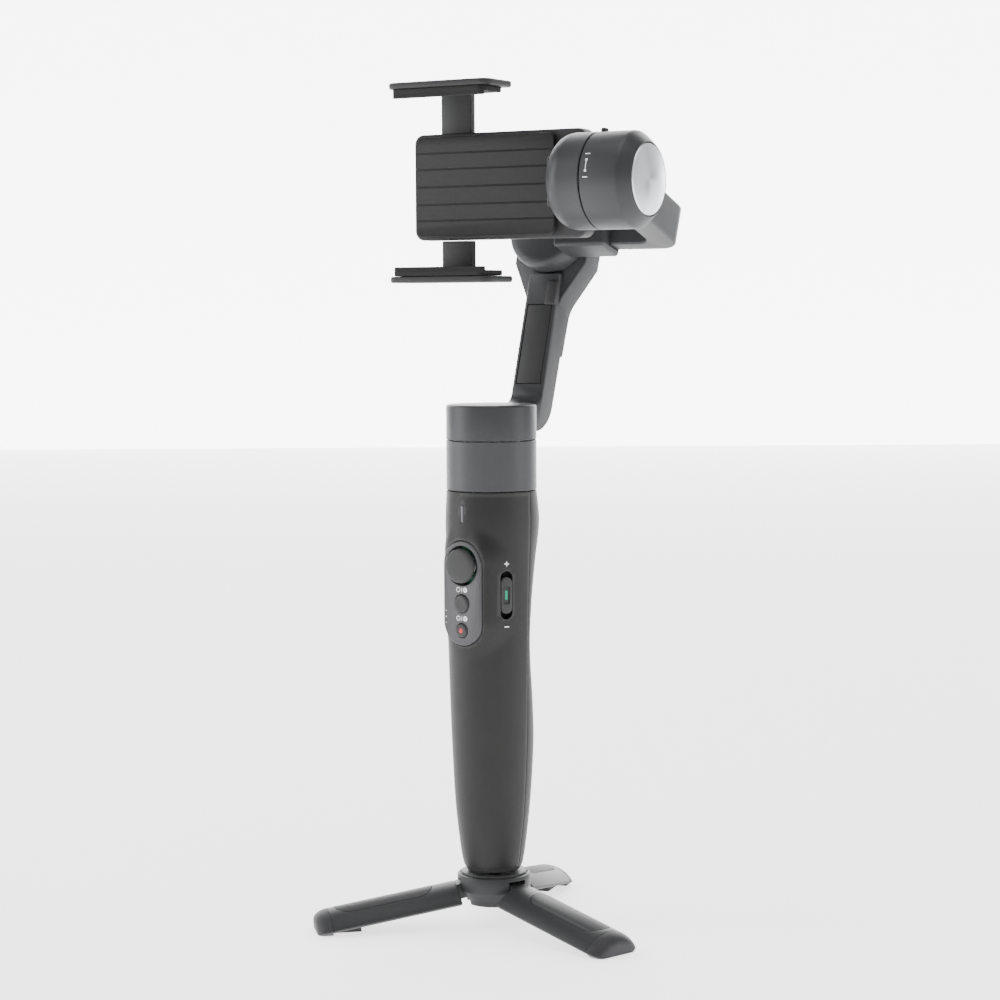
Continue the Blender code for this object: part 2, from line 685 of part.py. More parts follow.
def build_pan_arm(pan, roll_place):
    """The leaning arm from the pan cap up to the roll motor's cup."""
    side_view = rounded(((8.0, 199.3, 0.0), (34.3, 199.3, 14.0), (57.6, 268.0, 0.0),
                         (45.1, 268.0, 0.0), (27.1, 210.9, 5.5), (8.0, 210.9, 0.0)), 8)
    arm = add("pan_arm", slab_mesh(side_view, -7.4, 7.4, "YZ"), pan, finish="anodised")
    bevel(arm, 0.7, 1)
    web = rounded(((-7.2, -50.0, 0.0), (7.2, -50.0, 0.0), (7.2, -30.0, 16.0),
                   (17.0, -12.0, 0.0), (17.0, -2.0, 0.0), (-17.0, -2.0, 0.0),
                   (-17.0, -12.0, 0.0), (-7.2, -30.0, 16.0)), 6)
    join(arm, add("join_web", slab_mesh(web, ROLL_GAP + GAP, ROLL_BACK - 2.0, "XZ"), pan,
                  roll_place))
    cup = rod_mesh(ROLL_R + 0.3, ROLL_GAP + GAP, ROLL_BACK, FINE, "Y")
    join(arm, add("join_roll_cup", cup, pan, roll_place))
    hollow = rod_mesh(15.2, ROLL_GAP - 3.0, ROLL_BACK - 3.0, FINE, "Y")
    cut(arm, add("cut_roll_cup", hollow, pan, roll_place))
    recess = rod_mesh(13.6, ROLL_BACK - 1.2, ROLL_BACK + 2.0, FINE, "Y")
    cut(arm, add("cut_roll_disc", recess, pan, roll_place))
    ahead = box_mesh((-20.0, ROLL_GAP - 10.0, -18.0), (20.0, ROLL_GAP + 0.24, 20.0))
    cut(arm, add("cut_roll_clearance", ahead, pan, roll_place))
    cap_room = rod_mesh(PAN_R + GAP, 190.0, 212.5, FINE)
    cut(arm, add("cut_cap_room", cap_room, pan))
    bar_place = shift(0.0, 29.9, 220.0) @ turn(-17.5, "X")
    window = box_mesh((-5.9, -3.0, -1.5), (5.9, 1.2, 33.0))
    cut(arm, add("cut_cover_recess", window, pan, bar_place))
    cover = box_mesh((-5.6, 0.1, -1.2), (5.6, 0.9, 32.7))
    add("pan_arm_cover", cover, pan, bar_place, "panel")
    add("roll_end_disc", turned_mesh(((0.0, ROLL_BACK), (12.9, ROLL_BACK),
                                      (13.3, ROLL_BACK - 0.4), (13.3, ROLL_BACK - 0.9),
                                      (0.0, ROLL_BACK - 0.9)), FINE, "Y"), pan, roll_place,
        "silver")
    coil = ring_mesh(COIL_R, COIL_BORE, ROLL_GAP + 1.4, ROLL_BACK - 3.4, COARSE, "Y")
    add("roll_motor_coil", coil, pan, roll_place, "copper")


def bell_mesh(outer, inner, start, end, along):
    """A rotor bell: its end plate at start carries the magnet ring and the shaft."""
    floor = start + BELL_PLATE
    profile = ((0.0, end - 0.4), (SHAFT_R, end - 0.4), (SHAFT_R, floor), (inner, floor),
               (inner, end), (outer, end), (outer, start), (0.0, start))
    return turned_mesh(profile, FINE, along)


def build_roll(roll):
    disc_profile = ((0.0, ROLL_GAP), (ROLL_R, ROLL_GAP), (ROLL_R, ROTOR_FRONT + 2.5),
                    (ROLL_R - 1.0, ROTOR_FRONT + 0.8), (ROLL_R - 3.0, ROTOR_FRONT),
                    (0.0, ROTOR_FRONT))
    sleeve = add("cross_arm_sleeve", turned_mesh(disc_profile, FINE, "Y"), roll,
                 finish="anodised")
    sleeve_mesh = box_mesh((SLEEVE_LEFT, SLEEVE_FRONT, SLEEVE_LOW),
                           (SLEEVE_RIGHT, SLEEVE_BACK, SLEEVE_HIGH))
    block = bevel(add("join_sleeve_block", sleeve_mesh, roll), 1.6, 1)
    join(sleeve, block)
    tunnel = box_mesh((SLEEVE_LEFT + 2.5, BAR_FRONT - GAP, BAR_LOW - GAP),
                      (SLEEVE_RIGHT + 5.0, BAR_BACK + GAP, BAR_HIGH + GAP))
    cut(sleeve, add("cut_sleeve_tunnel", tunnel, roll))
    knob_bore = rod_mesh(2.0, BAR_HIGH - 2.0, SLEEVE_HIGH + 2.0, SMALL)
    cut(sleeve, add("cut_knob_bore", knob_bore, roll, shift(KNOB_X, KNOB_BEHIND, 0.0)))
    knob_pivot = pivot("balance_knob_pivot", roll, shift(KNOB_X, KNOB_BEHIND, 0.0))
    knob_profile = ((0.0, SLEEVE_HIGH + 4.4), (4.2, SLEEVE_HIGH + 4.4), (4.8, SLEEVE_HIGH + 3.8),
                    (4.8, SLEEVE_HIGH + GAP), (1.7, SLEEVE_HIGH + GAP), (1.7, BAR_HIGH + GAP),
                    (0.0, BAR_HIGH + GAP))
    add("balance_lock_knob", turned_mesh(knob_profile, COARSE), knob_pivot, finish="panel")
    add("roll_rotor_bell", bell_mesh(14.8, 13.0, ROLL_GAP + GAP, ROLL_BACK - 3.6, "Y"), roll,
        finish="steel")


def build_cross_arm(slide, tilt_frame):
    plan = rounded(((BAR_END, BAR_FRONT, 0.0), (52.6, BAR_FRONT, 5.0), (52.6, 10.6, 0.0),
                    (64.9, 10.6, 0.0), (63.9, BAR_BACK, 9.0), (BAR_END, BAR_BACK, 0.0)),
                   6)
    arm = add("cross_arm", slab_mesh(plan, BAR_LOW, BAR_HIGH), slide, finish="anodised")
    bevel(arm, 0.8, 1)
    room = rod_mesh(TILT_R + GAP, 40.0, 80.0, FINE, "X")
    cut(arm, add("cut_tilt_room", room, tilt_frame))
    stator_profile = ((16.6, TILT_GAP_X + GAP), (TILT_R, TILT_GAP_X + GAP), (TILT_R, 66.6),
                      (18.3, 67.8), (14.6, TILT_RIGHT - 0.4), (14.2, TILT_RIGHT - 0.2),
                      (14.2, TILT_RIGHT - 1.2), (4.8, TILT_RIGHT - 1.2), (4.8, 66.0),
                      (16.6, 66.0))
    stator = add("tilt_motor_housing",
                 turned_mesh(stator_profile[::-1], FINE, "X", closed=True), tilt_frame,
                 finish="anodised")
    tab_slot = box_mesh((TILT_GAP_X - 1.0, -2.3, 11.0), (LOCK_RIGHT + 0.6, 10.8, 24.0))
    cut(stator, add("cut_tab_slot", tab_slot, tilt_frame))
    disc = turned_mesh(((0.0, TILT_RIGHT), (TILT_DISC_R - 0.5, TILT_RIGHT),
                        (TILT_DISC_R, TILT_RIGHT - 0.4), (TILT_DISC_R, TILT_RIGHT - 0.9),
                        (0.0, TILT_RIGHT - 0.9)), FINE, "X")
    add("tilt_end_disc", disc, tilt_frame, finish="silver")
    add("tilt_motor_coil", ring_mesh(COIL_R, COIL_BORE, 53.4, 65.6, COARSE, "X"), tilt_frame,
        finish="copper")


def build_lock_ring(lock):
    ring = add("tilt_lock_ring", ring_mesh(16.3, 14.2, TILT_GAP_X + 0.6, LOCK_RIGHT, FINE, "X"), lock,
               finish="panel")
    tab = bevel(add("join_lock_tab", box_mesh((TILT_GAP_X + 0.6, -1.6, 15.2), (LOCK_RIGHT, 1.6, 20.4)),
                    lock), 0.4, 1)
    join(ring, tab)


def build_tilt(tilt):
    rounding = 8.5
    shoulder = [(TILT_R - rounding + rounding * math.cos(math.radians(angle)),
                 TILT_LEFT + rounding - rounding * math.sin(math.radians(angle)))
                for angle in range(90, -1, -18)]
    profile = [(0.0, TILT_LEFT)] + shoulder + [(TILT_R, TILT_GAP_X - GAP),
                                               (16.6, TILT_GAP_X - GAP), (16.6, 44.0),
                                               (0.0, 44.0)]
    rotor = turned_mesh(profile[::-1], FINE, "X")
    add("tilt_rotor_housing", rotor, tilt, finish="anodised")
    add("tilt_rotor_bell", bell_mesh(BELL_R, 12.4, 44.3, 64.6, "X"), tilt, finish="steel")
    stop = add("phone_stop", box_mesh((31.2, -9.5, -9.75), (38.0, 3.6, 9.75)), tilt,
               finish="panel")
    bevel(stop, 0.8, 1)
    rotor_room = turned_mesh([(0.0, TILT_LEFT - GAP)] + [(r + GAP, x - GAP) for r, x in shoulder]
                             + [(TILT_R + GAP, 60.0), (0.0, 60.0)], FINE, "X")
    room = add("cut_rotor_room", face_out(rotor_room), tilt)
    cut(stop, room)
    build_clamp(tilt, room)


def build_clamp(tilt, rotor_room):
    base = shift(z=-HEAD_Z)
    clamp = pivot("clamp_frame_place", tilt, base)
    outline = rounded(((FRAME_LEFT, FRAME_LOW, 4.0), (FRAME_RIGHT, FRAME_LOW, 4.0),
                       (FRAME_RIGHT, FRAME_HIGH, 4.0), (FRAME_LEFT, FRAME_HIGH, 4.0)), 4)
    frame = add("clamp_frame", slab_mesh(outline, FRAME_FRONT, FRAME_BACK, "XZ"), clamp,
                finish="anodised")
    bevel(frame, 0.6, 1)
    cut(frame, rotor_room)
    cavity = box_mesh((-35.0, 0.0, 279.6), (-7.0, 13.2, 318.0))
    cut(frame, add("cut_clamp_cavity", cavity, clamp))
    web_slot = box_mesh((-28.4, 8.2, 310.0), (-13.6, 12.6, 325.0))
    cut(frame, add("cut_web_slot", web_slot, clamp))
    pad_outline = rounded(((-38.0, 278.9, 3.0), (27.0, 278.9, 3.0), (27.0, 319.1, 3.0),
                           (-38.0, 319.1, 3.0)), 4)
    add("clamp_back_pad", slab_mesh(pad_outline, 4.2, FRAME_FRONT - GAP, "XZ"), clamp,
        finish="rubber")
    for side, x in zip(("left", "right"), ROD_XS):
        add(f"clamp_guide_rod_{side}", rod_mesh(ROD_R, 279.9, 317.7, SMALL), clamp,
            shift(x, ROD_Y, 0.0), "steel")
        add(f"clamp_spring_{side}", helix_mesh(2.25, 0.3, 299.0, 317.3, 4, x, ROD_Y), clamp,
            finish="steel")
    build_jaw("lower", clamp, 1.0, PHONE_LOW)
    jaw = pivot("upper_jaw_pivot", clamp, Matrix.Identity(4))
    build_jaw("upper", jaw, -1.0, PHONE_HIGH)


def build_jaw(name, parent, up, phone_edge):
    """A jaw below the phone (up = 1) or above it (up = -1)."""
    pad_far = phone_edge - up * PAD_TALL
    shell_near = pad_far - up * 0.1
    shell_far = shell_near - up * JAW_TALL
    low, high = sorted((shell_near, shell_far))
    plan = rounded(((CLAMP_LEFT, JAW_FRONT, 4.0), (CLAMP_RIGHT, JAW_FRONT, 4.0),
                    (CLAMP_RIGHT, JAW_BACK, 3.0), (CLAMP_LEFT, JAW_BACK, 3.0)), 4)
    jaw = add(f"{name}_jaw", slab_mesh(plan, low, high), parent, finish="shell")
    bevel(jaw, 0.7, 1)
    web_far = FRAME_LOW - GAP if up > 0.0 else 295.0
    ends = sorted((shell_near - up, web_far))
    web = box_mesh((-28.0, 8.5, ends[0]), (-14.0, 12.2, ends[1]))
    join(jaw, add(f"join_{name}_web", web, parent))
    if up < 0.0:
        cross = box_mesh((-34.4, 8.3, 293.0), (-7.6, 12.5, 298.0))
        join(jaw, add("join_crosshead", cross, parent))
        for side, x in zip(("left", "right"), ROD_XS):
            bore = rod_mesh(ROD_R + GAP, 290.0, 300.0, SMALL)
            cut(jaw, add(f"cut_rod_bore_{side}", bore, parent, shift(x, ROD_Y, 0.0)))
    inset = 1.9
    pad_plan = rounded(((CLAMP_LEFT + inset, JAW_FRONT + 0.4, 3.4),
                        (CLAMP_RIGHT - inset, JAW_FRONT + 0.4, 3.4),
                        (CLAMP_RIGHT - inset, 7.9, 0.0), (CLAMP_LEFT + inset, 7.9, 0.0)), 4)
    low, high = sorted((phone_edge, pad_far))
    pad = add(f"{name}_jaw_pad", slab_mesh(pad_plan, low, high), parent, finish="rubber")
    left = CLAMP_LEFT + inset + 0.7
    right = CLAMP_RIGHT - inset - 0.7
    lip_plan = rounded(((left, JAW_FRONT + 0.5, 1.8), (right, JAW_FRONT + 0.5, 1.8),
                        (right, -4.4, 0.0), (left, -4.4, 0.0)), 4)
    low, high = sorted((phone_edge - up * 1.0, phone_edge + up * 1.5))
    join(pad, add(f"join_{name}_lip", slab_mesh(lip_plan, low, high), parent))


def build():
    clear_scene()
    new_collection(COLLECTION)
    root = pivot("gimbal", None, shift(AXIS_X, AXIS_Y, 0.0))
    build_tripod(root)
    build_handle(root)
    pan = build_pole(root)
    roll_place = shift(z=HEAD_Z) @ turn(-ROLL_LEAN, "X")
    build_pan_arm(pan, roll_place)
    roll = pivot("roll_pivot", pan, roll_place)
    build_roll(roll)
    slide = pivot("cross_arm_pivot", roll, Matrix.Identity(4))
    tilt_frame = pivot("tilt_pivot", slide, turn(ROLL_LEAN, "X"))
    build_cross_arm(slide, tilt_frame)
    build_lock_ring(pivot("tilt_lock_pivot", tilt_frame, Matrix.Identity(4)))
    build_tilt(tilt_frame)


build()
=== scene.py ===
"""The looks of the camera gimbal: finer shells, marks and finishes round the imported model.

Lengths are millimetres, drawn in the frame of the joint that each piece belongs to, and
become metres in the mesh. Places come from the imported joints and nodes.
"""
import json
import math

import bmesh
import bpy
from mathutils import Matrix, Vector


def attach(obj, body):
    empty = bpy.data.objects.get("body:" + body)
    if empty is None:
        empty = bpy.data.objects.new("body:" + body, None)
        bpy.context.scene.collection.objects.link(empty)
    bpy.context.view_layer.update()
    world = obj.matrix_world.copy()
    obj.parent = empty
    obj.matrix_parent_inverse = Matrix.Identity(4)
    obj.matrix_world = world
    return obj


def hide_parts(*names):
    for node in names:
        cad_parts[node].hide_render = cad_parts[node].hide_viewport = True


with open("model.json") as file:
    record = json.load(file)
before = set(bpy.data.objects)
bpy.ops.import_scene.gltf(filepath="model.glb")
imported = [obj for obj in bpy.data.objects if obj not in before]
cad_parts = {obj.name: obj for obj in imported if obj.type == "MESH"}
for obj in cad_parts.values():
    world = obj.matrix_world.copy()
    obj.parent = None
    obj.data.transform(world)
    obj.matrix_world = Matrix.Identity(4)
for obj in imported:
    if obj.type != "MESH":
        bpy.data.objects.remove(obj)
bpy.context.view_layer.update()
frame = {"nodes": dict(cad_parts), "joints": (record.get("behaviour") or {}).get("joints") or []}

MM = 0.001
GAP = 0.3
ROUND = 96
MEDIUM = 56
MERGE = 0.0000005

# Tripod
LEG_DROOP = 9.5
LEG_PIVOT_R = 11.0
LEG_OUTER_R = 14.5
LEG_WALL = 2.4
LEG_HALF_ANGLE = 57.0
LEG_START = 4.7
LEG_END = 57.8
FOOT_END = 63.95
HUB_R = 14.9
HUB_BOTTOM = 8.2
HUB_TOP = 20.6
PIN_BORE_R = 1.5

# Handle
HANDLE_BOTTOM = 22.3
HANDLE_TOP = 176.7
HANDLE_WALL = 1.8
SEAM_ANGLE = 96.0
SEAM_GAP = 0.5
# height, then the half depth in front, the half width and the half depth behind
HANDLE_SECTIONS = (
    (22.3, 11.2, 10.6, 10.4),
    (25.0, 12.8, 11.9, 11.7),
    (33.0, 14.3, 13.2, 13.0),
    (50.0, 16.1, 15.0, 15.0),
    (74.0, 17.2, 16.3, 16.7),
    (90.0, 17.9, 16.8, 15.2),
    (115.0, 18.6, 17.4, 10.7),
    (131.0, 18.7, 17.7, 12.3),
    (148.0, 18.8, 18.0, 16.4),
    (164.0, 19.2, 18.4, 20.3),
    (176.7, 18.2, 18.2, 18.2),
)
HANDLE_RINGS = 150
HALF_SHELL_STEPS = 72
FAIRING_REACH = 7.5

# Control panel
PANEL_HALF_WIDTH = 9.6
PANEL_HALF_HEIGHT = 21.0
PANEL_Z = 136.5
PANEL_FRONT = 19.3
PANEL_BACK = 13.9
JOYSTICK_Z = 147.6
JOYSTICK_R = 7.1
JOYSTICK_PIVOT = 16.8
POWER_Z = 132.4
POWER_R = 3.6
RECORD_Z = 121.6
RECORD_R = 2.8
LIGHT_Z = 168.2
SLIDER_ANGLE = 57.0
SLIDER_Z = 136.0
SLIDER_SURFACE = 17.95
PORT_ANGLE = -62.0
INK = 0.04

# Pan motor
PAN_R = 18.2
PAN_STATOR_BOTTOM = 177.1
PAN_GAP_Z = 197.3
PAN_TOP = 211.4

# Roll motor and cross arm, in the roll frame
ROLL_R = 17.0
ROLL_GAP = 55.6
ROLL_BACK = 69.4
ROTOR_FRONT = 46.0
SLEEVE_LEFT = 10.5
SLEEVE_RIGHT = 34.3
SLEEVE_FRONT = 37.6
SLEEVE_BACK = 52.4
SLEEVE_LOW = -11.6
SLEEVE_HIGH = 8.6
BAR_FRONT = 42.9
BAR_BACK = 50.1
BAR_LOW = -9.4
BAR_HIGH = 6.4
BAR_END = 17.5
KNOB_X = 27.0
KNOB_BEHIND = 46.5

# Tilt motor, along X
TILT_R = 19.0
TILT_LEFT = 32.9
TILT_GAP_X = 50.6
LOCK_RIGHT = 53.2
TILT_RIGHT = 71.7
TILT_DISC_R = 13.9

# Studio
ROOM_STRENGTH = 0.3
FLOOR_GLOW = 1.9
BACKDROP_GLOW = 6.0
BACKDROP_AWAY = 3.4
BACKDROP_HALF_WIDTH = 3.2
CAMERA_AZIMUTH = math.radians(30.77)

# Phone clamp
CLAMP_LEFT = -45.0
CLAMP_RIGHT = 3.0
PHONE_LOW = 265.1
PHONE_HIGH = 336.0
JAW_FRONT = -7.0
JAW_BACK = 14.5
PAD_TALL = 2.2
JAW_TALL = 2.6
FRAME_LEFT = -40.0
FRAME_RIGHT = 40.0
FRAME_LOW = 277.5
FRAME_HIGH = 320.5
FRAME_FRONT = 6.6
FRAME_BACK = 15.0


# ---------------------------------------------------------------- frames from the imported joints

def shift(x=0.0, y=0.0, z=0.0):
    return Matrix.Translation(Vector((x, y, z)) * MM)


def turn(degrees, axis):
    return Matrix.Rotation(math.radians(degrees), 4, axis)


def joint(name):
    return next(entry for entry in frame["joints"] if entry["name"] == name)


def joint_place(name):
    return Matrix.Translation(Vector(joint(name)["pos_m"]))


PAN_POS = Vector(joint("pan_turn")["pos_m"])
ROOT = Matrix.Translation((PAN_POS.x, PAN_POS.y, 0.0))
HANDLE_AXIS = Vector(joint("joystick_rock")["axis"])
HANDLE = ROOT @ Matrix.Rotation(math.atan2(HANDLE_AXIS.y, HANDLE_AXIS.x), 4, "Z")
HEAD = joint_place("tilt_turn")
ROLL_AXIS = Vector(joint("roll_turn")["axis"])
ROLL = HEAD @ Matrix.Rotation(math.atan2(ROLL_AXIS.z, ROLL_AXIS.y), 4, "X")


def leg_place(number):
    axis = Vector(joint(f"leg_{number}_fold")["axis"])
    azimuth = math.atan2(-axis.x, axis.y)
    return joint_place(f"leg_{number}_fold") @ Matrix.Rotation(azimuth, 4, "Z")


# ---------------------------------------------------------------- materials

def node(tree, kind, **values):
    made = tree.nodes.new(kind)
    for name, value in values.items():
        setattr(made, name, value)
    return made


def noise(tree, coords, scale, detail=2.0, dimensions="3D"):
    made = node(tree, "ShaderNodeTexNoise", noise_dimensions=dimensions)
    made.inputs["Scale"].default_value = scale
    made.inputs["Detail"].default_value = detail
    tree.links.new(coords, made.inputs["W" if dimensions == "1D" else "Vector"])
    return made.outputs["Fac"]


def spread(tree, value, low, high, start=0.3, end=0.7):
    made = node(tree, "ShaderNodeMapRange")
    for name, number in (("From Min", start), ("From Max", end), ("To Min", low),
                         ("To Max", high)):
        made.inputs[name].default_value = number
    tree.links.new(value, made.inputs["Value"])
    return made.outputs["Result"]


def blend(tree, factor, first, second):
    made = node(tree, "ShaderNodeMix", data_type="RGBA")
    tree.links.new(factor, made.inputs["Factor"])
    for socket, colour in ((made.inputs["A"], first), (made.inputs["B"], second)):
        if isinstance(colour, tuple):
            socket.default_value = (*colour, 1.0)
        else:
            tree.links.new(colour, socket)
    return made.outputs["Result"]


def coated(name, colour, roughness, metallic=0.0, grain=3600.0, bump=0.3, depth=0.00003,
           mottle=0.07, edge_wear_and_highlight=0.35, specular=0.24):
    """A moulded or painted skin: fine grain, slow mottling and slightly paler edges, part rubbed
    finish and part painted highlight.
    """
    material = bpy.data.materials.new(name)
    material.use_nodes = True
    tree = material.node_tree
    shader = tree.nodes["Principled BSDF"]
    shader.inputs["Metallic"].default_value = metallic
    shader.inputs["Specular IOR Level"].default_value = specular
    coords = node(tree, "ShaderNodeTexCoord").outputs["Object"]
    slow = noise(tree, coords, 55.0, 4.0)
    fine = noise(tree, coords, grain, 3.0)
    darker = tuple(channel * (1.0 - mottle) for channel in colour)
    paler = tuple(min(channel * (1.0 + mottle), 1.0) for channel in colour)
    base = blend(tree, spread(tree, slow, 0.0, 1.0), darker, paler)
    # The paler colour on sharp edges, picked by pointiness, is partly rubbed finish and partly a
    # painted highlight.
    worn_and_highlit_colour = tuple(min(channel * 1.9 + 0.03, 1.0) for channel in colour)
    edge = spread(tree, node(tree, "ShaderNodeNewGeometry").outputs["Pointiness"], 0.0, edge_wear_and_highlight,
                  0.515, 0.60)
    tree.links.new(blend(tree, edge, base, worn_and_highlit_colour), shader.inputs["Base Color"])
    tree.links.new(spread(tree, fine, roughness - 0.06, roughness + 0.06),
                   shader.inputs["Roughness"])
    relief = node(tree, "ShaderNodeBump")
    relief.inputs["Strength"].default_value = bump
    relief.inputs["Distance"].default_value = depth
    tree.links.new(fine, relief.inputs["Height"])
    tree.links.new(relief.outputs["Normal"], shader.inputs["Normal"])
    return material


def spun(name, colour, centre, axis):
    """A turned metal disc: concentric tool marks round its centre and a sheen that follows them."""
    material = bpy.data.materials.new(name)
    material.use_nodes = True
    tree = material.node_tree
    shader = tree.nodes["Principled BSDF"]
    shader.inputs["Metallic"].default_value = 1.0
    shader.inputs["Anisotropic"].default_value = 0.8
    tangent = node(tree, "ShaderNodeTangent", direction_type="RADIAL", axis=axis)
    tree.links.new(tangent.outputs["Tangent"], shader.inputs["Tangent"])
    coords = node(tree, "ShaderNodeTexCoord").outputs["Object"]
    arm = node(tree, "ShaderNodeVectorMath", operation="SUBTRACT")
    arm.inputs[1].default_value = centre
    tree.links.new(coords, arm.inputs[0])
    radius = node(tree, "ShaderNodeVectorMath", operation="LENGTH")
    tree.links.new(arm.outputs["Vector"], radius.inputs[0])
    rings = noise(tree, radius.outputs["Value"], 5200.0, 3.0, "1D")
    slow = noise(tree, coords, 90.0, 3.0)
    darker = tuple(channel * 0.93 for channel in colour)
    tree.links.new(blend(tree, spread(tree, rings, 0.0, 1.0), darker, colour),
                   shader.inputs["Base Color"])
    tree.links.new(spread(tree, slow, 0.27, 0.33), shader.inputs["Roughness"])
    relief = node(tree, "ShaderNodeBump")
    relief.inputs["Strength"].default_value = 0.25
    relief.inputs["Distance"].default_value = 0.00002
    tree.links.new(rings, relief.inputs["Height"])
    tree.links.new(relief.outputs["Normal"], shader.inputs["Normal"])
    return material


METAL = coated("anodised_grey", (0.036, 0.037, 0.039), 0.43, 0.25, grain=5200.0, bump=0.22)
GRIP = coated("soft_touch_grip", (0.014, 0.014, 0.014), 0.50, grain=3200.0, bump=0.35)
PANEL = coated("satin_panel", (0.054, 0.053, 0.057), 0.42, grain=5200.0, bump=0.18)
BUTTON = coated("button_skin", (0.033, 0.033, 0.034), 0.48, grain=4200.0, bump=0.22)
STICK = coated("joystick_skin", (0.038, 0.038, 0.039), 0.62, grain=2600.0, bump=0.5)
CLAMP = coated("clamp_plastic", (0.021, 0.021, 0.022), 0.50, grain=3000.0, bump=0.35)
RUBBER = coated("pad_rubber", (0.009, 0.009, 0.009), 0.74, grain=1900.0, bump=0.5, mottle=0.15)
LEG = coated("leg_skin", (0.026, 0.027, 0.028), 0.46, 0.1, grain=4200.0, bump=0.25)
LEG_PAD = coated("leg_pad_rubber", (0.033, 0.033, 0.035), 0.60, grain=2200.0, bump=0.45)
FOOT = coated("foot_rubber", (0.032, 0.032, 0.034), 0.55, grain=2400.0, bump=0.4)
STEEL = coated("ground_steel", (0.50, 0.50, 0.52), 0.30, 1.0, grain=1800.0, bump=0.15)
COPPER = coated("copper_winding", (0.72, 0.33, 0.12), 0.38, 1.0, grain=900.0, bump=0.6)
BOARD = coated("circuit_board", (0.02, 0.14, 0.07), 0.45, grain=700.0, bump=0.5)
CELL = coated("cell_sleeve", (0.03, 0.10, 0.30), 0.35, grain=500.0, bump=0.2)
LENS = coated("diffusing_lens", (0.10, 0.10, 0.11), 0.28, grain=2000.0, bump=0.1)
DARK = coated("slot_black", (0.012, 0.012, 0.013), 0.60, grain=3000.0, bump=0.3)
WHITE_INK = coated("white_ink", (0.80, 0.80, 0.82), 0.55, grain=6000.0, bump=0.2, edge_wear_and_highlight=0.0)
GREEN_INK = coated("green_ink", (0.004, 0.30, 0.17), 0.45, grain=6000.0, bump=0.2, edge_wear_and_highlight=0.0)
RED_INK = coated("red_ink", (0.55, 0.035, 0.035), 0.45, grain=6000.0, bump=0.2, edge_wear_and_highlight=0.0)


# ---------------------------------------------------------------- mesh makers

def mesh_from(bm):
    bmesh.ops.recalc_face_normals(bm, faces=bm.faces)
    mesh = bpy.data.meshes.new("mesh")
    bm.to_mesh(mesh)
    bm.free()
    return mesh


def evaluated(obj):
    """The object's final mesh; the object is removed."""
    bpy.context.view_layer.update()
    graph = bpy.context.evaluated_depsgraph_get()
    mesh = bpy.data.meshes.new_from_object(obj.evaluated_get(graph))
    bpy.data.objects.remove(obj, do_unlink=True)
    return mesh


def holder(mesh):
    obj = bpy.data.objects.new("holder", mesh)
    bpy.context.scene.collection.objects.link(obj)
    return obj


def placed(mesh, place):
    copy = mesh.copy()
    copy.transform(place)
    return copy


def combine(mesh, *others, operation="DIFFERENCE"):
    """The mesh with each of the others cut away, joined on or kept in common."""
    obj = holder(mesh)
    guests = [holder(other) for other in others]
    for guest in guests:
        modifier = obj.modifiers.new("with_" + guest.name, "BOOLEAN")
        modifier.operation = operation
        modifier.solver = "EXACT"
        modifier.object = guest
    result = evaluated(obj)
    for guest in guests:
        bpy.data.objects.remove(guest, do_unlink=True)
    return result


def softened(mesh, width, segments=3, angle=34.0):
    """The mesh with its sharp edges rounded."""
    obj = holder(mesh)
    modifier = obj.modifiers.new("rounded_edges", "BEVEL")
    modifier.width = width * MM
    modifier.segments = segments
    modifier.limit_method = "ANGLE"
    modifier.angle_limit = math.radians(angle)
    modifier.use_clamp_overlap = True
    return evaluated(obj)


def box(low, high):
    bm = bmesh.new()
    bmesh.ops.create_cube(bm, size=1.0)
    low = Vector(low)
    high = Vector(high)
    bmesh.ops.scale(bm, vec=(high - low) * MM, verts=bm.verts)
    bmesh.ops.translate(bm, vec=(low + high) * 0.5 * MM, verts=bm.verts)
    return mesh_from(bm)


def axis_turn(along):
    """The turn that lays the +Z axis along +X or +Y."""
    if along == "X":
        return turn(90.0, "Y")
    if along == "Y":
        return turn(-90.0, "X")
    return Matrix.Identity(4)


def lathe(profile, steps=ROUND, along="Z", closed=False):
    """A turned solid from (radius, height) points; one that isn't closed meets its axis."""
    bm = bmesh.new()
    rings = []
    for radius, height in profile:
        if radius == 0.0:
            rings.append([bm.verts.new((0.0, 0.0, height * MM))] * steps)
            continue
        ring = []
        for step in range(steps):
            angle = 2.0 * math.pi * step / steps
            ring.append(bm.verts.new((radius * MM * math.cos(angle),
                                      radius * MM * math.sin(angle), height * MM)))
        rings.append(ring)
    pairs = list(zip(rings, rings[1:]))
    if closed:
        pairs.append((rings[-1], rings[0]))
    for low, high in pairs:
        for step in range(steps):
            after = (step + 1) % steps
            corners = [low[step], low[after], high[after], high[step]]
            unique = list(dict.fromkeys(corners))
            if len(unique) > 2:
                bm.faces.new(unique)
    mesh = mesh_from(bm)
    mesh.transform(axis_turn(along))
    return mesh


def rod(radius, start, end, steps=ROUND, along="Z"):
    return lathe(((0.0, start), (radius, start), (radius, end), (0.0, end)), steps, along)


def ring(outer, inner, start, end, steps=ROUND, along="Z"):
    return lathe(((outer, end), (outer, start), (inner, start), (inner, end)), steps, along,
                 closed=True)


def rounded(corners, steps=10):
    """An outline from (x, y, radius) corners, each round corner drawn as an arc."""
    points = []
    count = len(corners)
    for index, (x, y, radius) in enumerate(corners):
        here = Vector((x, y))
        if radius <= 0.0:
            points.append(here)
            continue
        back = (Vector(corners[index - 1][:2]) - here).normalized()
        ahead = (Vector(corners[(index + 1) % count][:2]) - here).normalized()
        half = back.angle(ahead) * 0.5
        centre = here + (back + ahead).normalized() * (radius / math.sin(half))
        first = here + back * (radius / math.tan(half))
        last = here + ahead * (radius / math.tan(half))
        sweep = (first - centre).angle_signed(last - centre)
        arm = first - centre
        for step in range(steps + 1):
            angle = -sweep * step / steps
            points.append(centre + Vector((arm.x * math.cos(angle) - arm.y * math.sin(angle),
                                           arm.x * math.sin(angle) + arm.y * math.cos(angle))))
    return points


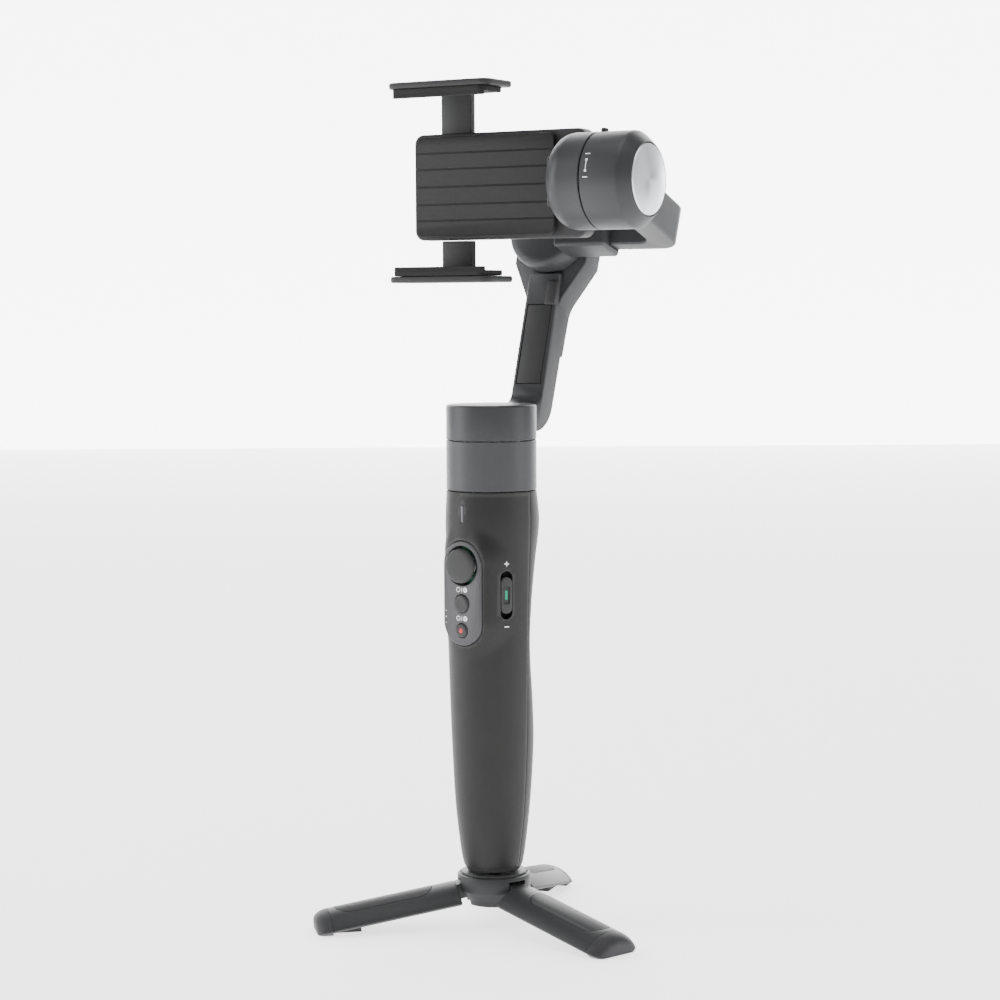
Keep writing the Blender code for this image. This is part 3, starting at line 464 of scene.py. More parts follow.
def obround(half_width, half_height, steps=24):
    """A slot shape standing up: straight sides and half-round ends."""
    points = []
    straight = half_height - half_width
    for end, start_angle in ((straight, 0.0), (-straight, 180.0)):
        for step in range(steps + 1):
            angle = math.radians(start_angle + 180.0 * step / steps)
            points.append(Vector((half_width * math.cos(angle),
                                  end + half_width * math.sin(angle))))
    return points


def loft(rings, ends=True):
    """A closed skin through rings of the same number of points."""
    bm = bmesh.new()
    rows = [[bm.verts.new(Vector(point) * MM) for point in points] for points in rings]
    count = len(rows[0])
    for low, high in zip(rows, rows[1:]):
        for index in range(count):
            after = (index + 1) % count
            bm.faces.new((low[index], low[after], high[after], high[index]))
    if ends:
        bm.faces.new(rows[0])
        bm.faces.new(rows[-1])
    return mesh_from(bm)


def slab(outline, low, high, plane="XY"):
    """A flat outline thickened from low to high across its plane."""
    def point(position, level):
        across, up = position
        if plane == "XZ":
            return (across, level, up)
        if plane == "YZ":
            return (level, across, up)
        return (across, up, level)

    return loft([[point(position, level) for position in outline] for level in (low, high)])


def sector(outer, inner, half_angle, centre_y, steps=48):
    """A piece of a ring seen along its length, its middle pointing up."""
    points = []
    for radius, sign in ((outer, 1.0), (inner, -1.0)):
        for step in range(steps + 1):
            angle = math.radians(half_angle) * sign * (2.0 * step / steps - 1.0)
            points.append(Vector((radius * math.sin(angle),
                                  centre_y + radius * math.cos(angle))))
    return points


def piece(name, mesh, place, body, material, stands_for=(), sharp=32.0):
    """A finished piece in the row frame, riding on a body."""
    mesh.transform(place)
    mesh.name = name
    mesh.materials.clear()
    mesh.materials.append(material)
    mesh.shade_smooth()
    mesh.set_sharp_from_angle(angle=math.radians(sharp))
    obj = bpy.data.objects.new(name, mesh)
    bpy.context.scene.collection.objects.link(obj)
    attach(obj, body)
    if stands_for:
        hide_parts(*stands_for)
    return obj


# ---------------------------------------------------------------- handle

def smooth_value(rows, height, column):
    """A Catmull-Rom value between the rows' heights."""
    last = len(rows) - 1
    index = 0
    while index < last - 1 and height > rows[index + 1][0]:
        index += 1
    low, high = rows[index], rows[index + 1]
    before = rows[max(index - 1, 0)]
    after = rows[min(index + 2, last)]
    span = high[0] - low[0]
    part = (height - low[0]) / span
    start_slope = (high[column] - before[column]) / (high[0] - before[0]) * span
    end_slope = (after[column] - low[column]) / (after[0] - low[0]) * span
    square = part * part
    cube = square * part
    return ((2 * cube - 3 * square + 1) * low[column] + (cube - 2 * square + part) * start_slope
            + (3 * square - 2 * cube) * high[column] + (cube - square) * end_slope)


def handle_point(angle, height, inset):
    """A point of the handle's wall; the angle is counted from the front, towards +X."""
    front, side, rear = (smooth_value(HANDLE_SECTIONS, height, column) - inset
                         for column in (1, 2, 3))
    depth = front if math.cos(angle) > 0.0 else rear
    return Vector((side * math.sin(angle), -depth * math.cos(angle), height))


def fairing(point):
    """Swell the wall forward round the panel's top and right, fading into the grip."""
    straight = PANEL_HALF_HEIGHT - PANEL_HALF_WIDTH
    up = point.z - PANEL_Z
    beyond = max(abs(up) - straight, 0.0)
    away = max(math.hypot(point.x, beyond) - PANEL_HALF_WIDTH, 0.0)
    near = max(1.0 - away / FAIRING_REACH, 0.0)
    near = near * near * (3.0 - 2.0 * near)
    heading = math.atan2(math.copysign(beyond, up), point.x)
    side_share = 0.5 + 0.5 * math.cos(heading - math.radians(50.0))
    lift = near * (0.15 + 0.85 * side_share)
    level = PANEL_FRONT - 0.55
    if point.y < 0.0 and -point.y < level:
        point.y -= lift * (level + point.y)
    return point


def wall_radius(angle, height):
    """How far the front wall stands from the handle's axis, in a direction from the front."""
    front, side = (smooth_value(HANDLE_SECTIONS, height, column) for column in (1, 2))
    turned = math.radians(angle)
    along = math.atan2(front * math.sin(turned), side * math.cos(turned))
    point = fairing(handle_point(along, height, 0.0))
    return math.hypot(point.x, point.y)


def half_shell(first_angle, last_angle, with_fairing):
    rings = []
    for index in range(HANDLE_RINGS + 1):
        height = HANDLE_BOTTOM + (HANDLE_TOP - HANDLE_BOTTOM) * index / HANDLE_RINGS
        points = []
        for inset, order in ((0.0, 1), (HANDLE_WALL, -1)):
            for step in range(HALF_SHELL_STEPS + 1)[::order]:
                angle = first_angle + (last_angle - first_angle) * step / HALF_SHELL_STEPS
                point = handle_point(math.radians(angle), height, inset)
                if with_fairing and inset == 0.0:
                    point = fairing(point)
                points.append(point)
        rings.append(points)
    return loft(rings)


def front_place(height, depth=0.0):
    """A frame on the handle's front: its own z points out of the handle, y is up."""
    return shift(0.0, -depth, height) @ turn(90.0, "X")


def side_place(angle, height, radius):
    return turn(angle, "Z") @ front_place(height, radius)


def build_grip():
    front = half_shell(-SEAM_ANGLE + SEAM_GAP, SEAM_ANGLE - SEAM_GAP, True)
    openings = (
        (obround(PANEL_HALF_WIDTH + GAP, PANEL_HALF_HEIGHT + GAP), 8.0, front_place(PANEL_Z)),
        (obround(0.85, 3.7), 14.0, front_place(LIGHT_Z)),
        (obround(2.7, 9.7), 13.5, side_place(SLIDER_ANGLE, SLIDER_Z, 0.0)),
        (obround(2.0, 4.9), 12.0, side_place(PORT_ANGLE, SLIDER_Z, 0.0)),
    )
    for outline, start, place in openings:
        front = combine(front, placed(slab(outline, start, 25.0), place))
    piece("grip_front", softened(front, 0.22, 2, 40.0), HANDLE, "handle", GRIP,
          ["handle_front_shell"])
    rear = half_shell(SEAM_ANGLE + SEAM_GAP, 360.0 - SEAM_ANGLE - SEAM_GAP, False)
    piece("grip_rear", softened(rear, 0.22, 2, 40.0), HANDLE, "handle", GRIP,
          ["handle_rear_shell"])
    floor = placed(slab(obround(3.6, 10.6), 13.2, 13.6), side_place(SLIDER_ANGLE, SLIDER_Z, 0.0))
    piece("slider_slot_floor", floor, HANDLE, "handle", DARK)


def build_panel():
    plate = slab(obround(PANEL_HALF_WIDTH, PANEL_HALF_HEIGHT, 40), PANEL_BACK, PANEL_FRONT)
    plate = softened(plate, 0.75, 4, 50.0)
    for height, radius in ((JOYSTICK_Z, JOYSTICK_R + 1.0), (POWER_Z, POWER_R + GAP),
                           (RECORD_Z, RECORD_R + GAP)):
        well = placed(rod(radius, 10.0, 25.0), shift(y=height - PANEL_Z))
        plate = combine(plate, well)
    piece("panel_plate", plate, HANDLE @ front_place(PANEL_Z), "handle", PANEL,
          ["control_panel"])
    cap = ((0.0, 5.35), (3.0, 5.33), (5.2, 5.22), (6.0, 5.02), (6.5, 4.68), (6.8, 4.15),
           (6.9, 3.4), (6.9, 2.6), (6.5, 2.1), (3.0, 1.9), (3.0, -1.2),
           (0.0, -1.2))
    stick = HANDLE @ front_place(JOYSTICK_Z, JOYSTICK_PIVOT)
    piece("joystick_dome", lathe(cap), stick, "joystick", STICK,
          ["joystick_cap"], 50.0)
    for name, body, height, radius, proud in (
            ("power_key", "power_button", POWER_Z, POWER_R, 0.9),
            ("record_key", "record_button", RECORD_Z, RECORD_R, 0.8)):
        profile = ((0.0, -0.12), (radius * 0.5, -0.08), (radius - 0.9, 0.0),
                   (radius - 0.45, -0.1), (radius - 0.15, -0.35), (radius, -0.8),
                   (radius, -5.2), (0.0, -5.2))
        place = HANDLE @ front_place(height, PANEL_FRONT + proud)
        piece(name, lathe(profile), place, body, BUTTON, [body], 50.0)
    dot = lathe(((0.0, -0.02), (0.75, 0.0), (0.95, -0.08), (0.95, -0.4), (0.0, -0.4)), MEDIUM)
    piece("record_dot", dot, HANDLE @ front_place(RECORD_Z, PANEL_FRONT + 0.8),
          "record_button", RED_INK)
    lens = softened(slab(obround(0.62, 3.45), 17.0, 18.95), 0.15, 2, 50.0)
    piece("status_lens", lens, HANDLE @ front_place(LIGHT_Z), "handle", LENS,
          ["status_light_lens"])


def ink(name, mesh, across, height):
    """A printed mark on the panel's face."""
    place = HANDLE @ front_place(height, PANEL_FRONT) @ shift(x=across)
    piece(name, mesh, place, "handle", WHITE_INK)


def build_panel_marks():
    for label, height in (("power", 138.0), ("record", 126.5)):
        ink(f"{label}_mark_ring", ring(1.0, 0.7, -0.1, INK, MEDIUM), -1.75, height)
        ink(f"{label}_mark_bar", slab(obround(0.13, 0.9, 6), -0.1, INK), 0.0, height)
        ink(f"{label}_mark_round", ring(1.05, 0.35, -0.1, INK, MEDIUM), 1.75, height)
    for index, height in enumerate((124.4, 126.8, 129.2), start=1):
        ink(f"level_light_{index}", rod(0.22, -0.1, INK, 20), -8.1, height)


def build_slider():
    knob = slab(obround(2.35, 7.35), -3.6, 0.75)
    knob = softened(knob, 0.45, 3, 50.0)
    dimple = slab(rounded(((-1.35, -3.6, 0.8), (1.35, -3.6, 0.8), (1.35, 3.6, 0.8),
                           (-1.35, 3.6, 0.8))), 0.15, 3.0)
    knob = combine(knob, dimple)
    place = HANDLE @ side_place(SLIDER_ANGLE, SLIDER_Z, SLIDER_SURFACE)
    piece("zoom_key", knob, place, "zoom_slider", BUTTON, ["zoom_slider"])
    bar = slab(obround(0.5, 1.9, 8), 0.1, 0.28)
    piece("zoom_key_mark", bar, place, "zoom_slider", GREEN_INK)
    stroke = 0.22
    minus = placed(slab(obround(stroke, 1.0, 6), -0.6, 0.1), turn(90.0, "Z"))
    plus = combine(slab(obround(stroke, 1.0, 6), -0.6, 0.1),
                   placed(slab(obround(stroke, 1.0, 6), -0.6, 0.1), turn(90.0, "Z")),
                   operation="UNION")
    for name, mark, height in (("zoom_mark_plus", plus, SLIDER_Z + 12.6),
                               ("zoom_mark_minus", minus, SLIDER_Z - 12.6)):
        place = side_place(SLIDER_ANGLE, height, wall_radius(SLIDER_ANGLE, height))
        piece(name, mark, HANDLE @ place, "handle", WHITE_INK)


# ---------------------------------------------------------------- motors and arms

def build_pan():
    housing = ((PAN_R - 0.25, PAN_GAP_Z - GAP), (PAN_R, PAN_GAP_Z - GAP - 0.25),
               (PAN_R, PAN_STATOR_BOTTOM + 0.3), (PAN_R - 0.3, PAN_STATOR_BOTTOM),
               (6.3, PAN_STATOR_BOTTOM), (6.3, 182.0), (16.3, 182.0),
               (16.3, PAN_GAP_Z - GAP))
    piece("pan_stator_skin", lathe(housing, closed=True), ROOT, "pole_head", METAL,
          ["pan_motor_housing"])
    cap = ((0.0, PAN_TOP), (PAN_R - 1.1, PAN_TOP), (PAN_R - 0.55, PAN_TOP - 0.15),
           (PAN_R - 0.15, PAN_TOP - 0.55), (PAN_R, PAN_TOP - 1.1), (PAN_R, PAN_GAP_Z + 0.25),
           (PAN_R - 0.25, PAN_GAP_Z), (16.4, PAN_GAP_Z), (16.4, 208.9), (0.0, 208.9))
    piece("pan_cap_skin", lathe(cap), ROOT, "pan", METAL, ["pan_rotor_cap"])


def build_pan_arm():
    side_view = rounded(((8.0, 199.3, 0.0), (34.3, 199.3, 14.0), (57.6, 268.0, 0.0),
                         (45.1, 268.0, 0.0), (27.1, 210.9, 5.5), (8.0, 210.9, 0.0)), 24)
    arm = slab(side_view, -7.4, 7.4, "YZ")
    arm = softened(arm, 0.9, 3, 40.0)
    to_arm = ROOT.inverted() @ ROLL
    web = rounded(((-7.2, -50.0, 0.0), (7.2, -50.0, 0.0), (7.2, -30.0, 16.0),
                   (17.0, -12.0, 0.0), (17.0, -2.0, 0.0), (-17.0, -2.0, 0.0),
                   (-17.0, -12.0, 0.0), (-7.2, -30.0, 16.0)), 16)
    web = softened(slab(web, ROLL_GAP + GAP, ROLL_BACK - 2.0, "XZ"), 0.8, 3, 50.0)
    cup = lathe(((0.0, ROLL_GAP + GAP), (ROLL_R + 0.3, ROLL_GAP + GAP),
                 (ROLL_R + 0.3, ROLL_BACK - 2.2), (ROLL_R - 0.5, ROLL_BACK - 0.6),
                 (ROLL_R - 2.0, ROLL_BACK), (0.0, ROLL_BACK)), ROUND, "Y")
    arm = combine(arm, placed(web, to_arm), placed(cup, to_arm), operation="UNION")
    hollow = rod(15.2, ROLL_GAP - 3.0, ROLL_BACK - 3.0, ROUND, "Y")
    recess = rod(13.6, ROLL_BACK - 1.2, ROLL_BACK + 2.0, ROUND, "Y")
    ahead = box((-20.0, ROLL_GAP - 10.0, -18.0), (20.0, ROLL_GAP + 0.24, 20.0))
    bar_place = shift(0.0, 29.9, 220.0) @ turn(-17.5, "X")
    window = box((-5.9, -3.0, -1.5), (5.9, 1.2, 33.0))
    arm = combine(arm, placed(hollow, to_arm), placed(recess, to_arm), placed(ahead, to_arm),
                  rod(PAN_R + GAP, 190.0, 212.5), placed(window, bar_place))
    piece("pan_arm_skin", arm, ROOT, "pan", METAL, ["pan_arm"])
    block = softened(box((2.2, -0.9, 32.6), (7.2, 2.0, 43.0)), 0.6, 3)
    piece("pan_arm_stop_block", block, ROOT @ bar_place, "pan", CLAMP)
    cover = softened(box((-5.6, 0.1, -1.2), (5.6, 0.9, 32.7)), 0.3, 3)
    piece("pan_arm_cover_skin", cover, ROOT @ bar_place, "pan", CLAMP,
          ["pan_arm_cover"])
    disc = lathe(((0.0, ROLL_BACK), (12.9, ROLL_BACK), (13.1, ROLL_BACK - 0.06),
                  (13.3, ROLL_BACK - 0.4), (13.3, ROLL_BACK - 0.9), (0.0, ROLL_BACK - 0.9)),
                 ROUND, "Y")
    centre = ROLL @ Vector((0.0, ROLL_BACK * MM, 0.0))
    piece("roll_disc_skin", disc, ROLL, "pan",
          spun("spun_roll_disc", (0.70, 0.72, 0.74), centre, "Y"),
          ["roll_end_disc"])


def build_roll():
    front = ((0.0, ROLL_GAP), (ROLL_R - 0.25, ROLL_GAP), (ROLL_R, ROLL_GAP - 0.25),
             (ROLL_R, ROTOR_FRONT + 3.4), (ROLL_R - 0.35, ROTOR_FRONT + 2.0),
             (ROLL_R - 1.2, ROTOR_FRONT + 0.8), (ROLL_R - 2.4, ROTOR_FRONT + 0.2),
             (ROLL_R - 3.8, ROTOR_FRONT), (0.0, ROTOR_FRONT))
    block = softened(box((SLEEVE_LEFT, SLEEVE_FRONT, SLEEVE_LOW),
                         (SLEEVE_RIGHT, SLEEVE_BACK, SLEEVE_HIGH)), 1.6, 4)
    tunnel = box((SLEEVE_LEFT + 2.5, BAR_FRONT - GAP, BAR_LOW - GAP),
                 (SLEEVE_RIGHT + 5.0, BAR_BACK + GAP, BAR_HIGH + GAP))
    knob_bore = placed(rod(2.0, BAR_HIGH - 2.0, SLEEVE_HIGH + 2.0, MEDIUM),
                       shift(KNOB_X, KNOB_BEHIND, 0.0))
    sleeve = combine(lathe(front, ROUND, "Y"), block, operation="UNION")
    sleeve = combine(sleeve, tunnel, knob_bore)
    piece("sleeve_skin", sleeve, ROLL, "roll", METAL, ["cross_arm_sleeve"])
    ribs = 24
    outline = []
    for step in range(ribs * 4):
        angle = 2.0 * math.pi * step / (ribs * 4)
        radius = 4.8 - 0.25 * (step % 4 > 1)
        outline.append(Vector((radius * math.cos(angle), radius * math.sin(angle))))
    knob = softened(slab(outline, SLEEVE_HIGH + GAP, SLEEVE_HIGH + 4.4), 0.2, 2, 60.0)
    stem = rod(1.7, BAR_HIGH + GAP, SLEEVE_HIGH + 1.0, MEDIUM)
    knob = combine(knob, stem, operation="UNION")
    piece("balance_knob_ribbed", knob, ROLL @ shift(KNOB_X, KNOB_BEHIND, 0.0),
          "balance_knob", CLAMP, ["balance_lock_knob"])


def build_cross_arm():
    plan = rounded(((BAR_END, BAR_FRONT, 0.0), (52.6, BAR_FRONT, 5.0), (52.6, 10.6, 0.0),
                    (64.9, 10.6, 0.0), (63.9, BAR_BACK, 9.0), (BAR_END, BAR_BACK, 0.0)), 20)
    arm = softened(slab(plan, BAR_LOW, BAR_HIGH), 1.0, 4, 40.0)
    room = placed(rod(TILT_R + GAP, 40.0, 80.0, ROUND, "X"), ROLL.inverted() @ HEAD)
    piece("cross_arm_skin", combine(arm, room), ROLL, "cross_arm", METAL,
          ["cross_arm"])


def arc_patch(x_low, x_high, first, last, radius, steps=16):
    """A thin curved mark on a barrel along X; angles run from the top towards the front."""
    rings = []
    for step in range(steps + 1):
        angle = math.radians(first + (last - first) * step / steps)
        rings.append([(x, -r * math.sin(angle), r * math.cos(angle))
                      for x, r in ((x_low, radius - 0.1), (x_high, radius - 0.1),
                                   (x_high, radius + INK), (x_low, radius + INK))])
    return loft(rings)


def build_tilt_motor():
    body = ((16.6, TILT_GAP_X + GAP), (TILT_R - 0.25, TILT_GAP_X + GAP),
            (TILT_R, TILT_GAP_X + GAP + 0.25), (TILT_R, 66.0), (18.85, 66.7), (18.4, 67.4),
            (14.8, TILT_RIGHT - 0.45), (14.5, TILT_RIGHT - 0.22), (14.2, TILT_RIGHT - 0.3),
            (14.2, TILT_RIGHT - 1.2), (4.8, TILT_RIGHT - 1.2), (4.8, 66.0), (16.6, 65.5))
    stator = lathe(body[::-1], ROUND, "X", closed=True)
    tab_slot = box((TILT_GAP_X - 1.0, -2.3, 11.0), (LOCK_RIGHT + 0.6, 10.8, 24.0))
    piece("tilt_stator_skin", combine(stator, tab_slot), HEAD, "cross_arm", METAL,
          ["tilt_motor_housing"])
    disc = lathe(((0.0, TILT_RIGHT), (TILT_DISC_R - 0.5, TILT_RIGHT),
                  (TILT_DISC_R - 0.2, TILT_RIGHT - 0.1), (TILT_DISC_R, TILT_RIGHT - 0.4),
                  (TILT_DISC_R, TILT_RIGHT - 0.9), (0.0, TILT_RIGHT - 0.9)), ROUND, "X")
    centre = HEAD @ Vector((TILT_RIGHT * MM, 0.0, 0.0))
    piece("tilt_disc_skin", disc, HEAD, "cross_arm",
          spun("spun_tilt_disc", (0.76, 0.80, 0.82), centre, "X"),
          ["tilt_end_disc"])
    lock = combine(ring(16.3, 14.2, TILT_GAP_X + 0.6, LOCK_RIGHT, ROUND, "X"),
                   softened(box((TILT_GAP_X + 0.6, -1.6, 15.2), (LOCK_RIGHT, 1.6, 20.4)), 0.5, 3),
                   operation="UNION")
    piece("lock_ring_skin", lock, HEAD, "tilt_lock", CLAMP,
          ["tilt_lock_ring"])
    for name, x_low, x_high, first, last in (
            ("lock_mark_line", 53.5, 53.8, 68.0, 80.0), ("lock_mark_dot_a", 53.2, 54.1, 66.0, 68.7),
            ("lock_mark_dot_b", 53.2, 54.1, 79.3, 82.0), ("lock_mark_end_a", 52.6, 54.7, 59.0, 60.2),
            ("lock_mark_end_b", 52.6, 54.7, 87.5, 88.7)):
        piece(name, arc_patch(x_low, x_high, first, last, TILT_R), HEAD, "cross_arm", WHITE_INK)


def build_tilt_rotor():
    rounding = 8.5
    shoulder = [(TILT_R - rounding + rounding * math.cos(math.radians(angle)),
                 TILT_LEFT + rounding - rounding * math.sin(math.radians(angle)))
                for angle in range(90, -1, -5)]
    rim = TILT_GAP_X - GAP
    profile = [(0.0, TILT_LEFT)] + shoulder + [(TILT_R, rim - 0.25), (TILT_R - 0.25, rim),
                                               (16.6, rim), (16.6, 44.0), (0.0, 44.0)]
    piece("tilt_rotor_skin", lathe(profile[::-1], ROUND, "X"), HEAD, "tilt", METAL,
          ["tilt_rotor_housing"])


# ---------------------------------------------------------------- clamp

def build_clamp():
    outline = rounded(((FRAME_LEFT, FRAME_LOW, 4.0), (FRAME_RIGHT, FRAME_LOW, 4.0),
                       (FRAME_RIGHT, FRAME_HIGH, 4.0), (FRAME_LEFT, FRAME_HIGH, 4.0)))
    plate = softened(slab(outline, FRAME_FRONT, FRAME_BACK, "XZ"), 1.1, 4, 50.0)
    rounding = 8.5
    room = [(0.0, TILT_LEFT - GAP)]
    for angle in range(90, -1, -5):
        turned = math.radians(angle)
        room.append((TILT_R - rounding + rounding * math.cos(turned) + GAP,
                     TILT_LEFT + rounding - rounding * math.sin(turned) - GAP))
    room += [(TILT_R + GAP, 60.0), (0.0, 60.0)]
    to_clamp = ROOT.inverted() @ HEAD
    cavity = box((-35.0, 0.0, 279.6), (-7.0, 13.2, 318.0))
    web_slot = box((-28.4, 8.2, 310.0), (-13.6, 12.6, 325.0))
    plate = combine(plate, placed(lathe(room, ROUND, "X"), to_clamp), cavity, web_slot)
    piece("clamp_body", plate, ROOT, "tilt", CLAMP, ["clamp_frame"])
    pad = rounded(((-38.0, 278.9, 3.0), (27.0, 278.9, 3.0), (27.0, 319.1, 3.0),
                   (-38.0, 319.1, 3.0)))
    pad = softened(slab(pad, 4.2, FRAME_FRONT - GAP, "XZ"), 0.45, 3, 50.0)
    grooves = [box((-60.0, 3.0, level), (60.0, 4.55, level + 0.8))
               for level in (285.0, 291.5, 298.6, 305.7, 312.2)]
    pad = combine(pad, *grooves)
    piece("back_pad_ribbed", pad, ROOT, "tilt", RUBBER, ["clamp_back_pad"])


def build_jaw(name, body, up, phone_edge):
    """A jaw below the phone (up = 1) or above it (up = -1)."""
    pad_far = phone_edge - up * PAD_TALL
    shell_near = pad_far - up * 0.1
    shell_far = shell_near - up * JAW_TALL
    low, high = sorted((shell_near, shell_far))
    plan = rounded(((CLAMP_LEFT, JAW_FRONT, 4.0), (CLAMP_RIGHT, JAW_FRONT, 4.0),
                    (CLAMP_RIGHT, JAW_BACK, 3.0), (CLAMP_LEFT, JAW_BACK, 3.0)))
    jaw = softened(slab(plan, low, high), 0.85, 4, 50.0)
    web_far = FRAME_LOW - GAP if up > 0.0 else 295.0
    ends = sorted((shell_near - up, web_far))
    web = softened(box((-28.0, 8.5, ends[0]), (-14.0, 12.2, ends[1])), 0.4, 3)
    jaw = combine(jaw, web, operation="UNION")
    if up < 0.0:
        jaw = combine(jaw, box((-34.4, 8.3, 293.0), (-7.6, 12.5, 298.0)), operation="UNION")
        bores = [placed(rod(1.8, 290.0, 300.0, MEDIUM), shift(x, 10.4, 0.0))
                 for x in (-31.5, -10.5)]
        jaw = combine(jaw, *bores)
    piece(f"{name}_jaw_shell", jaw, ROOT, body, CLAMP, [f"{name}_jaw"])
    inset = 1.9
    left, right = CLAMP_LEFT + inset, CLAMP_RIGHT - inset
    plan = rounded(((left, JAW_FRONT + 0.4, 3.4), (right, JAW_FRONT + 0.4, 3.4),
                    (right, 7.9, 0.6), (left, 7.9, 0.6)))
    low, high = sorted((phone_edge, pad_far))
    pad = softened(slab(plan, low, high), 0.35, 3, 50.0)
    lip = rounded(((left + 0.7, JAW_FRONT + 0.5, 1.8), (right - 0.7, JAW_FRONT + 0.5, 1.8),
                   (right - 0.7, -4.4, 0.0), (left + 0.7, -4.4, 0.0)))
    low, high = sorted((phone_edge - up * 1.0, phone_edge + up * 1.5))
    lip = softened(slab(lip, low, high), 0.4, 3, 50.0)
    pad = combine(pad, lip, operation="UNION")
    ribs = [box((-60.0, y, min(phone_edge - up * 0.3, phone_edge + up)),
                (60.0, y + 0.5, max(phone_edge - up * 0.3, phone_edge + up)))
            for y in (-2.5, -0.5, 1.5, 3.5, 5.5)]
    pad = combine(pad, *ribs)
    piece(f"{name}_jaw_grip", pad, ROOT, body, RUBBER, [f"{name}_jaw_pad"])


# ---------------------------------------------------------------- tripod

def build_hub():
    profile = ((0.0, HUB_TOP + 0.9), (12.9, HUB_TOP + 0.9), (13.2, HUB_TOP + 0.75),
               (13.3, HUB_TOP + 0.4), (13.3, HUB_TOP - 0.4), (13.7, HUB_TOP - 0.4),
               (13.9, HUB_TOP), (HUB_R - 0.7, HUB_TOP - 0.05), (HUB_R - 0.25, HUB_TOP - 0.3),
               (HUB_R, HUB_TOP - 0.8), (HUB_R, 14.6), (HUB_R - 0.2, 14.0),
               (11.6, 10.4), (11.2, HUB_BOTTOM + 0.4), (10.8, HUB_BOTTOM), (0.0, HUB_BOTTOM))
    cutters = [rod(3.5, 11.0, 30.0)]
    for number in (1, 2, 3):
        place = ROOT.inverted() @ leg_place(number)
        cutters.append(placed(box((-3.8, -4.2, -12.0), (12.0, 4.2, 4.3)), place))
        cutters.append(placed(rod(PIN_BORE_R, -6.3, 6.3, MEDIUM, "Y"), place))
    piece("hub_skin", combine(lathe(profile), *cutters), ROOT, "handle", LEG,
          ["tripod_hub"])


def nose_outline(steps=48):
    """The D-shaped end of a leg: the shell's arc on top, a flat run below."""
    points = sector(LEG_OUTER_R, LEG_OUTER_R, LEG_HALF_ANGLE, -LEG_PIVOT_R, steps)[:steps + 1]
    return points + [Vector((8.4, -6.1)), Vector((-8.4, -6.1))]


def build_leg(number):
    body = f"leg_{number}"
    place = leg_place(number) @ turn(LEG_DROOP, "Y")
    shell = slab(sector(LEG_OUTER_R, LEG_OUTER_R - LEG_WALL, LEG_HALF_ANGLE, -LEG_PIVOT_R),
                 LEG_START, LEG_END, "YZ")
    shell = softened(shell, 0.5, 3, 40.0)
    knuckle = rounded(((-3.4, -3.3, 3.2), (12.0, -3.3, 2.0), (12.0, 2.2, 0.0),
                       (7.0, 2.2, 1.5), (2.0, 3.4, 2.0), (-3.4, 3.4, 3.2)), 12)
    knuckle = softened(slab(knuckle, -3.9, 3.9, "XZ"), 0.4, 2, 50.0)
    shell = combine(shell, knuckle, operation="UNION")
    pad_centre = shift(x=34.6) @ turn(90.0, "Z")
    pocket = combine(slab(sector(LEG_OUTER_R + 2.0, LEG_OUTER_R - 1.0, 34.0, -LEG_PIVOT_R),
                          10.0, 57.0, "YZ"),
                     placed(slab(obround(6.5, 20.3), -5.0, 8.0), pad_centre),
                     operation="INTERSECT")
    shell = combine(shell, rod(PIN_BORE_R, -5.0, 5.0, MEDIUM, "Y"), pocket)
    piece(f"leg_{number}_skin", shell, place, body, LEG,
          [f"leg_{number}_shell"])
    pad = combine(slab(sector(LEG_OUTER_R, LEG_OUTER_R - 0.7, 34.0, -LEG_PIVOT_R), 10.0, 57.0,
                       "YZ"),
                  placed(slab(obround(6.2, 20.0), -5.0, 8.0), pad_centre),
                  operation="INTERSECT")
    piece(f"leg_{number}_pad_skin", softened(pad, 0.2, 2, 50.0), place, body, LEG_PAD,
          [f"leg_{number}_grip_pad"])
    build_foot(number, body, place)


def build_foot(number, body, place):
    """The nose: sections that shrink along a quarter ellipse, with the sole under the shell."""
    start = LEG_END + 0.04
    rings = []
    outline = nose_outline()
    centre = Vector((0.0, -5.6))
    reach = FOOT_END - start
    for step in range(25):
        along = reach * math.sin(math.radians(90.0 * step / 24.0))
        share = 0.42 + 0.58 * math.cos(math.radians(90.0 * step / 24.0)) ** 0.62
        rings.append([(start + along, centre.x + (point.x - centre.x) * share,
                       centre.y + (point.y - centre.y) * share) for point in outline])
    nose = loft(rings)
    sole = softened(box((46.0, -5.6, -9.0), (LEG_END + 1.0, 5.6, -2.9)), 0.8, 3)
    foot = combine(nose, sole, operation="UNION")
    floor = placed(box((30.0, -20.0, -14.7 - 12.0), (90.0, 20.0, -14.7)), turn(-LEG_DROOP, "Y"))
    foot = combine(foot, floor)
    piece(f"leg_{number}_nose", foot, place, body, FOOT,
          [f"leg_{number}_foot"], 50.0)


# ---------------------------------------------------------------- carried-over nodes

CARRIED = {
    STEEL: ("tripod_screw", "leg_pin_1", "leg_pin_2", "leg_pin_3", "base_insert",
            "pole_guide", "pole_middle_tube", "pole_inner_tube", "pan_rotor_bell",
            "roll_rotor_bell", "tilt_rotor_bell", "clamp_guide_rod_left",
            "clamp_guide_rod_right", "clamp_spring_left", "clamp_spring_right",
            "joystick_ring", "charge_port"),
    COPPER: ("pan_motor_coil", "roll_motor_coil", "tilt_motor_coil"),
    BOARD: ("main_board",),
    CELL: ("battery_cell",),
    GRIP: ("handle_top_collar",),
    CLAMP: ("phone_stop",),
}


